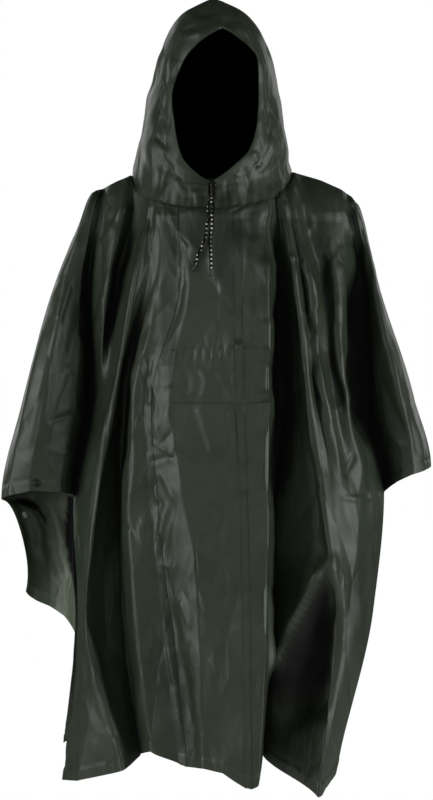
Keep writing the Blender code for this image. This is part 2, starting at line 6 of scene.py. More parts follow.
import math
from collections import namedtuple
import bpy
import numpy as np
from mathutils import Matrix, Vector


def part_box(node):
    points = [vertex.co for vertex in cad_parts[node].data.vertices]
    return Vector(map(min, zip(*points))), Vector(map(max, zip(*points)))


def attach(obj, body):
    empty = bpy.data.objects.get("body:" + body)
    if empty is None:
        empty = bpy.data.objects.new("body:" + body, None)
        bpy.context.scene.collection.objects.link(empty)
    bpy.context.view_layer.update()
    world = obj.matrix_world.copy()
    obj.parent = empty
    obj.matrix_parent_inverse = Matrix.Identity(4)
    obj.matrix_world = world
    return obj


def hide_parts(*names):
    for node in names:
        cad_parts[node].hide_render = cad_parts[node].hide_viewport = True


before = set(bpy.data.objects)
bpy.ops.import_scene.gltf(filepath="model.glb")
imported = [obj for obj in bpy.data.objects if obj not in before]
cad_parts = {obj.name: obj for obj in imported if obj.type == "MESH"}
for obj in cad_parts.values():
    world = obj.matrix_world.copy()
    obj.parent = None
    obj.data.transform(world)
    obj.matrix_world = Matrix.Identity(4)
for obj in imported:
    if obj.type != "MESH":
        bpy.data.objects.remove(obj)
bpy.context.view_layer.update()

MM = 0.001
CELL = 3.3  # grid spacing of the front widths
BACK_CELL = 4.0
CLOTH_THICK = 0.8
PATCH_THICK = 0.7  # what is sewn on a panel
CRISPNESS = 0.85  # 0 rounds every fold, 1 presses it to a sharp edge
HEM_DEPTH = 20.0
HEM_BAND = 0.9  # how far the folded hem stands off the cloth
HEM_GROOVE = 1.1  # how deep its stitches draw in
HEM_SLACK = 1.2
POCKET_TUCK = 1.6  # tucks along the pocket's top edge
TUCK_PITCH = 12
GATHER_HEIGHT = 2.4  # tucks along the neck seam
GATHER_PITCH = 15
FRONT_GATHER = 81  # seeds of the neck seam's tucks, shared by the panel and the hood
BACK_GATHER = 82
NECK_FADE = 24.0  # depth below the neck seam over which a panel eases to its own form
THREAD_LIFT = 0.12  # how far stitches stand off the cloth
FINE_FACET = 1.3  # heights of the small and the broad facets of crumpled cloth
BROAD_FACET = 4.0
FINE_DRAWN = 0.6  # share of their width, over their length down the cloth
BROAD_DRAWN = 0.42
EDGE_EASE = 12.0  # beside a sleeve's top edge, over which the creases die away
SIDE_EASE = 14.0  # the same beside the closed side seam
TOP_EASE = 22.0  # and below the top edge
FAR = 1000.0  # further than any edge of the cloth

# --- camera ---------------------------------------------------------------------------
CAMERA_DISTANCE = 4.0
CAMERA_HEIGHT = -0.344
VIEW_HEIGHT = 1.312  # what the frame takes in at the shoulder line

camera_data = bpy.data.cameras.new("studio_camera")
camera_data.sensor_width = 36.0
camera_data.lens = 36.0 * CAMERA_DISTANCE / VIEW_HEIGHT
camera = bpy.data.objects.new("studio_camera", camera_data)
camera.location = (0.0, -CAMERA_DISTANCE, CAMERA_HEIGHT)
camera.rotation_euler = (math.pi / 2, 0.0, 0.0)
bpy.context.scene.collection.objects.link(camera)
bpy.context.scene.camera = camera

# --- shape of the garment -------------------------------------------------------------
NECK_TUCK = 3.0  # how far the hood is sewn in below the neck edge
NECK_NARROW = 0.005  # and how much narrower than it, as a share
NECK_X = -7.0
NECK_HALF_WIDTH = 131.0
NECK_FRONT = 128.0
NECK_BACK = 95.0
NECK_FRONT_Z = -37.0
NECK_BACK_Z = 31.0
NECK_RIGHT_Z = 24.0  # right and left are the wearer's, so x is negative on the right
NECK_LEFT_Z = 30.0
SHOULDER_Z = -55.0
CHEST_Z = -150.0
WAIST_Z = -348.0
CUFF_TO_THIGH = 150.0  # what a sleeve fold's line would run on below its cuff
THIGH_TO_HEM = 200.0
SLEEVE_SPREAD = 5.0
WING_PULL = 21.0  # how far the open wing's edge is drawn in
RIGHT_SHOULDER = ((-197.0, -4.0), (-190.0, 0.0), (-160.0, 16.0), (-138.0, NECK_RIGHT_Z))
LEFT_SHOULDER = ((124.0, NECK_LEFT_Z), (171.0, 16.0), (209.0, -3.0), (229.0, -21.0))

# How far down the cloth each line lies, from the neck seam
DOWN_LEVELS = (0.0, 70.0, 165.0, 363.0, 515.0, 705.0, 945.0)
POCKET_TOP = 278.1
POCKET_FOOT = 454.2
FLAP_EDGE = 363.0
CUFF_DOWN = 515.0
THIGH_DOWN = 705.0

# One row per fold line, from the wearer's right sleeve to the left sleeve.
# x: at the neck or shoulder edge, the chest, the waist, the cuff, the thigh and the
# hem. out: how far it lies ahead of the shoulder line at the shoulder, chest, waist,
# cuff, thigh and hem. Sleeve folds end at the cuff.
Fold = namedtuple("Fold", "name x out cuff_z thigh_z hem_z")
FRONT_FOLDS = (
    Fold("sleeve_top_r", (-197, -264, -319, -353), (0, 0, 0, 0), -507, 0, 0),
    Fold("sleeve_front_r", (-194, -260, -307, -336), (26, 34, 56, 50), -499, 0, 0),
    Fold("sleeve_mid_r", (-190, -244, -276, -302), (42, 54, 76, 64), -491, 0, 0),
    Fold("sleeve_inner_r", (-186, -217, -226, -254), (46, 48, 54, 52), -493, 0, 0),
    Fold("side_r", (-182, -208, -209, -233, -226, -250), (38, 8, 2, 12, 12, 12), -500, -690, -965),
    Fold("ridge_1", (-139, -173, -193, -214, -219, -225), (66, 86, 38, 42, 45, 55),
         -500, -690, -960),
    Fold("valley_1", (-126, -161, -183, -204, -214, -196), (52, 46, 62, 66, 62, 75),
         -500, -690, -951),
    Fold("ridge_2", (-104, -130, -164, -189, -210, -149), (98, 124, 110, 90, 78, 110),
         -500, -690, -935),
    Fold("valley_2", (-94, -110, -148, -157, -152, -124), (108, 116, 72, 40, 38, 60),
         -500, -690, -916),
    Fold("ridge_3", (-84, -90, -131, -140, -126, -104), (122, 130, 140, 136, 135, 130),
         -500, -690, -902),
    Fold("seam_r_a", (-72, -67, -114, -105, -85, -58), (128, 138, 140, 140, 140, 135),
         -500, -690, -921),
    Fold("seam_r_b", (-61, -56, -103, -94, -74, -46), (130, 142, 145, 146, 146, 142),
         -500, -690, -924),
    Fold("pocket_r", (-43, -42, -72, -51, -37, -20), (138, 154, 164, 174, 175, 178),
         -500, -690, -922),
    Fold("middle", (-7, -7, -13, -2, 2, 10), (142, 160, 170, 176, 178, 185), -500, -690, -928),
    Fold("seam_l_a", (27, 28, 31, 38, 41, 44), (140, 162, 175, 184, 186, 195), -500, -690, -949),
    Fold("seam_l_b", (38, 39, 42, 48, 52, 55), (138, 162, 175, 185, 187, 197), -500, -690, -951),
    Fold("strip_edge", (76, 83, 83, 80, 78, 65), (122, 160, 178, 190, 190, 198), -500, -690, -946),
    Fold("strip_back", (84, 91, 90, 86, 84, 69), (108, 136, 142, 150, 150, 150), -500, -690, -928),
    Fold("valley_3", (94, 99, 102, 93, 91, 74), (92, 88, 82, 80, 80, 74), -500, -690, -912),
    Fold("ridge_4", (104, 125, 148, 171, 189, 160), (102, 134, 145, 140, 145, 165),
         -500, -690, -969),
    Fold("valley_4", (109, 136, 158, 186, 203, 166), (92, 114, 126, 134, 138, 150),
         -500, -690, -968),
    Fold("ridge_5", (116, 150, 172, 201, 217, 172), (94, 126, 134, 127, 123, 132),
         -500, -690, -960),
    Fold("valley_5", (125, 169, 190, 219, 230, 180), (76, 88, 106, 110, 102, 108),
         -500, -690, -954),
    Fold("ridge_6", (166, 190, 208, 238, 243, 190), (66, 98, 108, 86, 74, 84), -500, -690, -944),
    Fold("side_l", (211, 235, 242, 274, 257, 201), (40, 12, 8, 14, 0, 0), -494, -690, -924),
    Fold("sleeve_inner_l", (216, 245, 264, 291), (48, 42, 46, 40), -479, 0, 0),
    Fold("sleeve_mid_l", (221, 257, 297, 318), (42, 52, 72, 58), -464, 0, 0),
    Fold("sleeve_front_l", (225, 263, 315, 340), (26, 34, 52, 42), -457, 0, 0),
    Fold("sleeve_top_l", (229, 265, 326, 352), (0, 0, 0, 0), -453, 0, 0),
)

# --- folds of the back panel ----------------------------------------------------------
# The same columns; here `out` is how far the fold lies behind the shoulder line.
# The right sleeve hangs open and runs on down to the thigh.
BACK_FOLDS = (
    Fold("sleeve_top_r", (-197, -264, -319, -353, -314), (0, 0, 0, 0, 12), -507, -659, 0),
    Fold("sleeve_back_r", (-194, -259, -309, -338, -302), (28, 38, 50, 46, 26), -512, -672, 0),
    Fold("sleeve_mid_r", (-190, -242, -276, -302, -274), (42, 56, 66, 62, 34), -516, -686, 0),
    Fold("sleeve_inner_r", (-186, -222, -240, -262, -252), (46, 48, 48, 52, 24), -518, -700, 0),
    Fold("side_r", (-182, -206, -216, -238, -232, -248), (44, 34, 34, 38, -9, -9),
         -520, -724, -905),
    Fold("ridge_1", (-139, -172, -184, -194, -200, -206), (58, 76, 86, 92, 74, 78),
         -520, -724, -898),
    Fold("valley_1", (-118, -142, -150, -156, -160, -166), (76, 72, 68, 66, 62, 62),
         -520, -716, -890),
    Fold("ridge_2", (-92, -104, -112, -112, -108, -116), (94, 104, 112, 122, 132, 138),
         -520, -710, -904),
    Fold("valley_2", (-58, -66, -72, -66, -58, -62), (96, 96, 96, 98, 104, 110), -520, -706, -890),
    Fold("ridge_3", (-22, -20, -26, -18, -8, -10), (108, 116, 126, 138, 148, 160),
         -520, -698, -908),
    Fold("valley_3", (20, 26, 24, 34, 42, 44), (104, 104, 108, 110, 112, 116), -518, -694, -893),
    Fold("ridge_4", (56, 68, 70, 82, 92, 90), (100, 114, 126, 138, 150, 158), -514, -692, -910),
    Fold("valley_4", (96, 112, 118, 128, 136, 126), (88, 86, 88, 92, 94, 100), -508, -690, -892),
    Fold("ridge_5", (125, 150, 160, 172, 181, 158), (76, 88, 98, 106, 112, 118), -504, -690, -902),
    Fold("valley_5", (160, 185, 198, 216, 219, 180), (58, 56, 60, 64, 62, 66), -500, -690, -896),
    Fold("side_l", (211, 233, 245, 274, 257, 201), (46, 32, 30, 30, 0, 0), -494, -690, -898),
    Fold("sleeve_inner_l", (216, 245, 268, 294), (46, 50, 48, 42), -479, 0, 0),
    Fold("sleeve_mid_l", (221, 257, 296, 320), (40, 54, 64, 54), -462, 0, 0),
    Fold("sleeve_back_l", (225, 263, 315, 342), (26, 36, 46, 38), -456, 0, 0),
    Fold("sleeve_top_l", (229, 265, 326, 352), (0, 0, 0, 0), -453, 0, 0),
)

# --- rows of the hood -----------------------------------------------------------------
# centre_x: the middle seam; front, back: how far the section reaches each way.
# bend: how flat the row runs across the front. turn: how far round from the front
# the face edge lies, in degrees. Then x and z of the face edge and of the widest
# point, on the wearer's right and on the left.
HoodRow = namedtuple(
    "HoodRow",
    "name centre_x front back back_z bend turn"
    " right_edge_x right_edge_z right_side_x right_side_z"
    " left_edge_x left_edge_z left_side_x left_side_z",
)
HOOD_ROWS = (
    HoodRow("neck", -7, 128, 95, 31, 1.0, 0, -7, -37, -138, 24, -7, -37, 124, 30),
    HoodRow("notch", -7, 124, 100, 66, 1.2, 0, -8, -2, -133, 46, -6, -2, 117, 46),
    HoodRow("chin", -7, 122, 104, 86, 1.4, 8, -26, 12, -129, 62, 22, 24, 113, 64),
    HoodRow("jaw", -6, 120, 110, 112, 1.6, 22, -55, 44, -123, 84, 54, 58, 109, 86),
    HoodRow("cheek", -5, 116, 120, 148, 1.8, 32, -66, 89, -115, 114, 64, 100, 103, 118),
    HoodRow("temple", -4, 112, 130, 190, 2.0, 38, -71, 145, -105, 158, 67, 150, 96, 160),
    HoodRow("brow", -3, 108, 132, 228, 2.0, 38, -66, 168, -94, 212, 66, 202, 86, 206),
    HoodRow("crown", -3, 102, 126, 256, 2.4, 30, -49, 204, -80, 252, 54, 221, 72, 250),
    HoodRow("high", -4, 95, 116, 268, 2.8, 16, -22, 232, -54, 286, 30, 240, 41, 288),
    HoodRow("top", -8, 92, 104, 266, 3.2, 0, 9, 252, -8, 311, 9, 252, -8, 311),
)

# --- drawcord: x and z of each free end, from the notch down --------------------------
CORD_PATHS = {
    "drawcord_right": (
        (-10, 1), (-12, -10), (-10, -22), (-5, -34), (-5, -46), (-11, -58),
        (-16, -70), (-17, -82), (-20, -94), (-25, -106), (-30, -118), (-34, -130),
    ),
    "drawcord_left": (
        (-3, 1), (-4, -10), (-4, -22), (-12, -34), (-13, -46), (-6, -58),
        (-8, -70), (-10, -82), (-11, -94), (-10, -106), (-9, -118), (-9, -130), (-9, -138),
    ),
}
CORD_DIAMETER = 0.0044  # in metres
CORD_CLEAR = 0.6  # between the cords and the cloth
CORD_STEP_OUT = {"drawcord_right": 0.0, "drawcord_left": 5.0}  # the left one lies on top


# --- curves and levels ----------------------------------------------------------------
def smooth(knots, values, at):
    """Cubic curve through the values that never swings past them."""
    knots = np.asarray(knots, float)
    values = np.asarray(values, float)
    if len(knots) == 2:
        share = (np.asarray(at, float) - knots[0]) / (knots[1] - knots[0])
        return values[0] + (values[1] - values[0]) * share
    gaps = np.diff(knots)
    slopes = np.diff(values) / gaps
    tangents = np.zeros(len(knots))
    for i in range(1, len(knots) - 1):
        if slopes[i - 1] * slopes[i] > 0:
            first = 2 * gaps[i] + gaps[i - 1]
            second = gaps[i] + 2 * gaps[i - 1]
            tangents[i] = (first + second) / (first / slopes[i - 1] + second / slopes[i])
    tangents[0] = slopes[0]
    tangents[-1] = slopes[-1]
    at = np.asarray(at, float)
    part = np.clip(np.searchsorted(knots, at, side="right") - 1, 0, len(gaps) - 1)
    share = (at - knots[part]) / gaps[part]
    rise = share * share * (3 - 2 * share)
    lead = share * (1 - share) ** 2 * gaps[part] * tangents[part]
    tail = share * share * (share - 1) * gaps[part] * tangents[part + 1]
    return values[part] + (values[part + 1] - values[part]) * rise + lead + tail


def neck_point(x, behind):
    """(out, z) of the body's top edge at x: on the neck ring, or on a shoulder line."""
    across = (x - NECK_X) / NECK_HALF_WIDTH
    if across <= -1:
        return 0.0, float(np.interp(x, *zip(*RIGHT_SHOULDER)))
    if across >= 1:
        return 0.0, float(np.interp(x, *zip(*LEFT_SHOULDER)))
    along = math.sqrt(1 - across * across)
    side_z = NECK_RIGHT_Z if across < 0 else NECK_LEFT_Z
    middle_z = NECK_BACK_Z if behind else NECK_FRONT_Z
    reach = NECK_BACK if behind else NECK_FRONT
    return reach * along, side_z + (middle_z - side_z) * along


def fold_levels(fold, behind):
    """x, out and z of one fold at each level, from the top edge to the hem."""
    top_out, top_z = neck_point(fold.x[0], behind)
    places = len(DOWN_LEVELS) - 1
    xs = list(fold.x) + [fold.x[-1]] * (places - len(fold.x))
    outs = list(fold.out) + [fold.out[-1]] * (places - len(fold.out))
    thigh_z = fold.thigh_z or fold.cuff_z - CUFF_TO_THIGH
    hem_z = fold.hem_z or thigh_z - THIGH_TO_HEM
    share = (top_z - SHOULDER_Z) / (top_z - CHEST_Z)
    shoulder_x = xs[0] + (xs[1] - xs[0]) * share
    if "sleeve" in fold.name:
        shoulder_x += math.copysign(SLEEVE_SPREAD, xs[0])
    x = [xs[0], shoulder_x] + xs[1:]
    out = [top_out] + outs
    z = [top_z, SHOULDER_Z, CHEST_Z, WAIST_Z, fold.cuff_z, thigh_z, hem_z]
    return x, out, z


# --- creases --------------------------------------------------------------------------
# Each row is a Crease: width and height in mm, and its path as x, z from the front.
# A positive height is a ridge, a negative one a trough. Sharp ones have a narrow crest,
# and a fall is a ridge with a long slope that drops off on the side it is named for.
Crease = namedtuple("Crease", "name width height kind path")
FRONT_CREASES = (
    ("v1_right_edge", 4, 4, "sharp", ((-170, -118), (-178, -156), (-186, -189), (-194, -230),
     (-201, -271))),
    ("crest_above_v1", 5, 4, "fall_left", ((-140, -16), (-162, -46), (-178, -74), (-198, -108))),
    ("v2_upper", 5, -5, "soft", ((-125, -21), (-132, -52), (-142, -85), (-152, -115), (-162, -148),
     (-171, -189), (-180, -238), (-186, -271))),
    ("long_ridge_upper", 4, 4, "sharp", ((-98, -30), (-109, -49), (-119, -74), (-125, -107),
     (-139, -164), (-150, -238), (-157, -271))),
    ("long_ridge_lower", 4, 5, "fall_right", ((-155, -262), (-168, -344), (-181, -410),
     (-193, -476), (-203, -558), (-207, -607), (-221, -686))),
    ("corner_fold", 5, 6, "fall_right", ((-217, -686), (-214, -713), (-199, -763), (-189, -804),
     (-178, -853), (-163, -894), (-148, -935))),
    ("corner_facet", 6, 3, "fall_right", ((-203, -774), (-198, -820), (-186, -869), (-170, -910))),
    ("inner_edge_upper", 5, 5, "fall_left", ((-134, -271), (-135, -344), (-135, -410), (-137, -467),
     (-145, -512), (-153, -544))),
    ("inner_edge_lower", 6, 6, "fall_left", ((-155, -533), (-147, -579), (-137, -648), (-129, -738),
     (-124, -820), (-116, -915))),
    ("v3_start", 8, -6, "soft", ((-147, -289), (-147, -344), (-153, -410), (-157, -476))),
    ("small_crease_1", 3, -3, "sharp", ((-153, -541), (-135, -567), (-121, -592))),
    ("small_crease_2", 4, 4, "fall_left", ((-125, -590), (-124, -553), (-111, -525))),
    ("small_crease_3", 4, 3, "fall_right", ((-111, -526), (-107, -566), (-114, -607))),
    ("bartack_pull_1", 3, -3, "sharp", ((-117, -448), (-96, -441), (-76, -436), (-60, -438))),
    ("bartack_pull_2", 3, -3, "sharp", ((-98, -425), (-83, -407), (-70, -389))),
    ("bartack_pull_3", 3, 3, "sharp", ((-109, -410), (-93, -421), (-78, -433))),
    ("bartack_pull_4", 3, 2, "sharp", ((-66, -410), (-73, -430), (-78, -453))),
    ("beside_pocket_1", 4, 3, "fall_left", ((-106, -318), (-98, -344), (-102, -377), (-93, -410))),
    ("beside_pocket_2", 4, -4, "sharp", ((-121, -308), (-109, -331), (-114, -358))),
    ("beside_pocket_3", 4, 4, "fall_right", ((-83, -312), (-73, -341), (-80, -364), (-70, -385))),
    ("beside_pocket_4", 4, 4, "sharp", ((-93, -459), (-80, -487), (-66, -512))),
    ("beside_pocket_5", 5, -6, "soft", ((-70, -505), (-81, -558), (-91, -604))),
    ("beside_pocket_6", 4, 4, "sharp", ((-84, -505), (-91, -558), (-98, -610))),
    ("beside_pocket_7", 4, -4, "sharp", ((-106, -476), (-99, -508), (-83, -528))),
    ("beside_pocket_8", 4, 3, "fall_left", ((-112, -459), (-106, -492), (-109, -518))),
    ("low_crinkle_1", 4, 4, "fall_left", ((-88, -607), (-76, -620), (-63, -607))),
    ("low_crinkle_2", 4, -4, "sharp", ((-91, -626), (-80, -656), (-86, -682))),
    ("pocket_edge_ridge", 7, 7, "fall_left", ((-58, -500), (-43, -549), (-35, -607), (-29, -689),
     (-24, -804), (-16, -951))),
    ("ragged_trough", 8, -8, "soft", ((-83, -656), (-66, -738), (-55, -804), (-47, -861),
     (-43, -943))),
    ("ragged_1", 4, 4, "fall_left", ((-63, -669), (-47, -700), (-43, -725))),
    ("ragged_2", 4, -4, "sharp", ((-43, -738), (-53, -758), (-43, -784))),
    ("ragged_3", 4, 4, "fall_left", ((-47, -810), (-32, -846), (-37, -872))),
    ("ragged_4", 4, -4, "sharp", ((-37, -872), (-43, -899), (-32, -928))),
    ("seam_crest", 4, 4, "sharp", ((-91, -664), (-83, -713), (-76, -771), (-66, -820), (-60, -872),
     (-57, -943))),
    ("between_seam", 6, -3, "soft", ((-112, -820), (-104, -853), (-109, -894))),
    ("chest_crinkle", 4, -2, "sharp", ((-121, -266), (-109, -289), (-116, -312))),
    ("chin_shadow_right", 7, 5, "fall_left", ((-76, -26), (-68, -62), (-50, -79), (-25, -102))),
    ("chin_shadow_middle", 8, 5, "fall_right", ((40, -52), (40, -118), (32, -200))),
    ("chin_shadow_low", 7, 3, "fall_left", ((-19, -59), (-4, -128), (25, -194))),
    ("chin_shadow_left", 7, -5, "soft", ((57, -23), (58, -56), (61, -85))),
    ("strip_facet", 9, 4, "soft", ((58, -79), (58, -164), (65, -243))),
    ("strip_drop", 5, 3, "fall_right", ((48, -210), (61, -238), (75, -230))),
    ("neck_diagonal", 3, -4, "sharp", ((50, -21), (22, -39))),
    ("strip_edge_dip_1", 10, -6, "soft", ((82, -38), (81, -125))),
    ("strip_edge_bulge_1", 12, 3, "soft", ((86, -207), (94, -240), (86, -274))),
    ("strip_edge_dip_2", 13, -3, "soft", ((86, -276), (84, -338))),
    ("strip_edge_bulge_2", 12, 3, "soft", ((84, -340), (90, -357), (84, -376))),
    ("strip_edge_dip_3", 15, -4, "soft", ((84, -386), (80, -505))),
    ("strip_edge_bulge_3", 13, 3, "soft", ((80, -512), (84, -560), (80, -600))),
    ("strip_edge_dip_4", 15, -4, "soft", ((80, -640), (76, -740))),
    ("pocket_wedge_right", 5, 3, "fall_right", ((16, -348), (12, -394), (7, -440))),
    ("pocket_wedge_left", 5, 3, "fall_left", ((-32, -348), (-17, -394), (-6, -440))),
    ("flap_crease_1", 3, 3, "fall_left", ((-27, -289), (-17, -318), (-29, -348))),
    ("flap_crease_2", 3, -2, "sharp", ((-53, -292), (-45, -320), (-60, -341))),
    ("left_ridge_main", 5, 6, "fall_left", ((99, -13), (109, -66), (122, -128), (132, -184),
     (140, -233), (145, -282), (150, -344), (158, -410), (166, -459), (173, -512), (183, -574),
     (188, -600), (194, -656), (200, -738), (193, -869), (182, -948))),
    ("diamond_edge", 5, 5, "fall_right", ((135, -115), (158, -154), (165, -182), (142, -216))),
    ("diamond_top", 4, 3, "sharp", ((117, -107), (137, -116), (147, -131))),
    ("second_ridge", 4, 5, "fall_left", ((140, -210), (147, -249), (157, -287), (170, -325),
     (181, -354), (191, -397), (199, -443), (206, -482))),
    ("third_ridge", 4, 4, "sharp", ((194, -210), (198, -266), (206, -312), (216, -344),
     (206, -374))),
    ("dark_band", 9, -7, "soft", ((163, -213), (173, -254), (189, -303), (209, -369))),
    ("side_band", 8, 6, "fall_right", ((198, -98), (204, -148), (199, -210), (198, -254))),
    ("side_band_trough", 6, -4, "soft", ((178, -98), (173, -156), (166, -210))),
    ("shoulder_patch", 5, 4, "fall_right", ((134, -13), (158, -52), (144, -77))),
    ("shoulder_patch_top", 4, 3, "fall_left", ((109, -13), (121, -39), (134, -69))),
    ("shoulder_left_1", 4, 4, "sharp", ((204, -23), (216, -59), (232, -87))),
    ("shoulder_left_2", 4, -4, "sharp", ((199, -95), (216, -84), (229, -98))),
    ("shoulder_left_3", 4, 3, "fall_left", ((189, -118), (206, -92), (219, -79))),
    ("shoulder_left_4", 6, -3, "soft", ((137, 16), (173, -16), (211, -39))),
    ("armpit_slit", 5, -8, "soft", ((219, -20), (227, -49), (235, -89), (239, -121))),
    ("hip_crease", 3, -5, "sharp", ((229, -431), (219, -451), (209, -476))),
    ("hip_line", 4, 4, "sharp", ((203, -503), (229, -507), (258, -502))),
    ("hip_edge", 7, 3, "fall_left", ((209, -508), (222, -558), (230, -610), (235, -672),
     (232, -763))),
    ("armpit_left", 9, -30, "soft", ((222, -118), (230, -180), (232, -246), (234, -312),
     (239, -377), (248, -435))),
    ("hip_swell", 14, 5, "soft", ((239, -394), (244, -508), (235, -640))),
    ("sleeve_left_1", 3, 4, "fall_right", ((304, -331), (314, -385), (324, -440))),
    ("sleeve_left_2", 7, 5, "soft", ((258, -157), (275, -230), (291, -312), (304, -394))),
    ("sleeve_left_3", 5, -4, "soft", ((262, -128), (281, -213), (294, -289))),
    ("sleeve_left_4", 4, 3, "sharp", ((294, -410), (308, -430), (304, -453))),
    ("sleeve_right_1", 7, 5, "fall_right", ((-207, -39), (-237, -139), (-270, -254), (-299, -377),
     (-319, -472))),
    ("sleeve_right_2", 7, -4, "soft", ((-201, -75), (-221, -180), (-247, -295), (-273, -407))),
    ("sleeve_right_3", 4, -4, "sharp", ((-244, -285), (-224, -305))),
    ("sleeve_right_4", 4, -5, "sharp", ((-276, -382), (-253, -374), (-221, -362))),
    ("sleeve_right_5", 4, 4, "fall_left", ((-289, -420), (-260, -430), (-224, -428))),
    ("sleeve_right_6", 4, 3, "sharp", ((-230, -230), (-221, -262), (-226, -298))),
    ("shoulder_right_1", 4, -3, "sharp", ((-188, -7), (-171, -26), (-162, -69))),
    ("shoulder_right_2", 5, 3, "fall_left", ((-142, 7), (-155, -33), (-178, -85))),
    ("neck_right_1", 4, 3, "sharp", ((-109, -21), (-122, -59))),
    ("neck_right_2", 4, -3, "sharp", ((-104, -26), (-107, -72))),
    ("neck_right_3", 4, 3, "sharp", ((-98, -31), (-91, -79))),
    ("neck_left_1", 4, 4, "sharp", ((117, 2), (130, -41), (137, -92))),
    ("neck_left_2", 4, 4, "sharp", ((122, 7), (148, -26), (166, -75))),
    ("neck_left_3", 4, -4, "sharp", ((109, -7), (111, -52))),
)
# Between the pocket strip and the long left ridge
HOLLOW_CREASES = (
    ("diagonal_fold", 15, 30, "fall_low", ((191, -587), (178, -618), (160, -656), (140, -695),
     (120, -735), (102, -775), (92, -812))),
    ("triangle_floor", 18, -30, "soft", ((182, -640), (166, -730), (140, -810), (114, -900))),
    ("triangle_side", 14, -26, "soft", ((186, -680), (178, -780), (160, -886))),
    ("upper_hollow", 13, -8, "soft", ((111, -148), (112, -230), (107, -344), (99, -426),
     (94, -517))),
)
# Its deep part, as x, z seen from the front, where the cloth takes painted shade
HOLLOW_OUTLINE = (
    (183, -604), (137, -690), (104, -752), (75, -820), (75, -877),
    (166, -910), (183, -836), (194, -738), (191, -672),
)
HOLLOW_FOOT_Z = -915.0
# Places on the chest that the chin of the hood and the seam's slack keep in shade
CHEST_SHADES = (
    (((-78, -30), (-72, -62), (-20, -116), (32, -116), (76, -64), (74, -28)), 0.30),
    (((-18, -98), (-10, -124), (28, -196), (36, -196), (36, -98)), 0.28),
    (((-94, -44), (-94, -292), (-62, -292), (-62, -60)), 0.32),
)
# Painted shade on the back's inside: in the slit beside the body's edge, and under the open wing's
# corner
WING_SHADES = (
    ((-245, -500), (-251, -566), (-243, -612), (-227, -684), (-228, -500)),
    ((-342, -508), (-294, -528), (-288, -521), (-301, -508), (-322, -503)),
    ((-294, -528), (-278, -554), (-275, -546), (-288, -520)),
)
HOOD_CREASES = (
    ("brim_ridge", 6, 3, "sharp", ((12, 298), (35, 272), (58, 244))),
    ("brim_trough", 5, -3, "sharp", ((7, 289), (29, 262), (53, 239))),
    ("brow_1", 5, -3, "sharp", ((-60, 261), (-45, 266), (-29, 269))),
    ("brow_2", 5, 3, "sharp", ((-55, 249), (-37, 253), (-19, 257))),
    ("brow_3", 4, 2, "sharp", ((-47, 279), (-17, 282))),
    ("brow_4", 5, -2, "soft", ((-34, 292), (-7, 290))),
    ("cheek_trough", 9, -6, "soft", ((-80, 213), (-83, 164), (-86, 115), (-78, 85))),
    ("cheek_ridge", 7, 3, "soft", ((-68, 230), (-73, 167), (-75, 105))),
    ("cheek_outer", 9, 4, "soft", ((-98, 180), (-106, 115), (-112, 41))),
    ("jaw_1", 5, -4, "sharp", ((-101, 90), (-88, 79), (-75, 64))),
    ("jaw_2", 6, -4, "sharp", ((-96, -25), (-88, 16), (-75, 52))),
    ("chin_1", 4, 3, "sharp", ((-65, 20), (-50, -11))),
    ("chin_2", 4, -3, "sharp", ((-50, 11), (-43, -21))),
    ("chin_3", 4, 3, "sharp", ((-34, 2), (-32, -25))),
    ("chin_4", 4, -3, "sharp", ((-20, -3), (-17, -28))),
    ("chin_5", 4, 3, "sharp", ((2, 8), (-1, -28))),
    ("chin_6", 4, -4, "sharp", ((16, 18), (20, -25))),
    ("chin_7", 4, 4, "sharp", ((29, 28), (37, -21))),
    ("chin_8", 5, -4, "sharp", ((43, 43), (57, -10))),
    ("jaw_left_1", 5, 4, "sharp", ((58, 66), (68, 39), (75, 23))),
    ("jaw_left_2", 5, -4, "sharp", ((60, 39), (75, 44))),
    ("cheek_left_trough", 7, -4, "soft", ((81, 141), (83, 112), (80, 82))),
    ("cheek_left_ridge", 9, 4, "soft", ((94, 164), (98, 98), (106, 33))),
)
# On the sides of the hood a path is y, z
HOOD_SIDE_RIGHT = (
    ("fold_over_ear", 9, 5, "soft", ((-40, 250), (-10, 190), (10, 110), (8, 40))),
    ("ear_trough", 8, -5, "soft", ((-18, 262), (16, 200), (36, 120), (40, 50))),
    ("nape_1", 6, 4, "sharp", ((92, 60), (60, 95), (20, 118))),
    ("nape_2", 6, -4, "sharp", ((100, 92), (66, 128), (28, 148))),
    ("crown_1", 6, 3, "sharp", ((104, 200), (60, 232), (10, 252))),
    ("crown_2", 6, -3, "sharp", ((112, 168), (80, 206), (42, 224))),
    ("collar_1", 5, 4, "sharp", ((70, 40), (78, 66))),
    ("collar_2", 5, -4, "sharp", ((48, 34), (52, 72))),
)
HOOD_SIDE_LEFT = (
    ("fold_over_ear", 9, 5, "soft", ((-36, 246), (-4, 186), (18, 104), (14, 38))),
    ("ear_trough", 8, -5, "soft", ((-10, 258), (24, 196), (46, 116), (50, 46))),
    ("nape_1", 6, 4, "sharp", ((88, 54), (54, 86), (14, 104))),
    ("nape_2", 6, -4, "sharp", ((104, 100), (72, 130), (30, 156))),
    ("crown_1", 6, 3, "sharp", ((108, 190), (66, 226), (20, 244))),
    ("collar_1", 5, 4, "sharp", ((60, 38), (66, 70))),
    ("collar_2", 5, -4, "sharp", ((36, 34), (40, 66))),
)
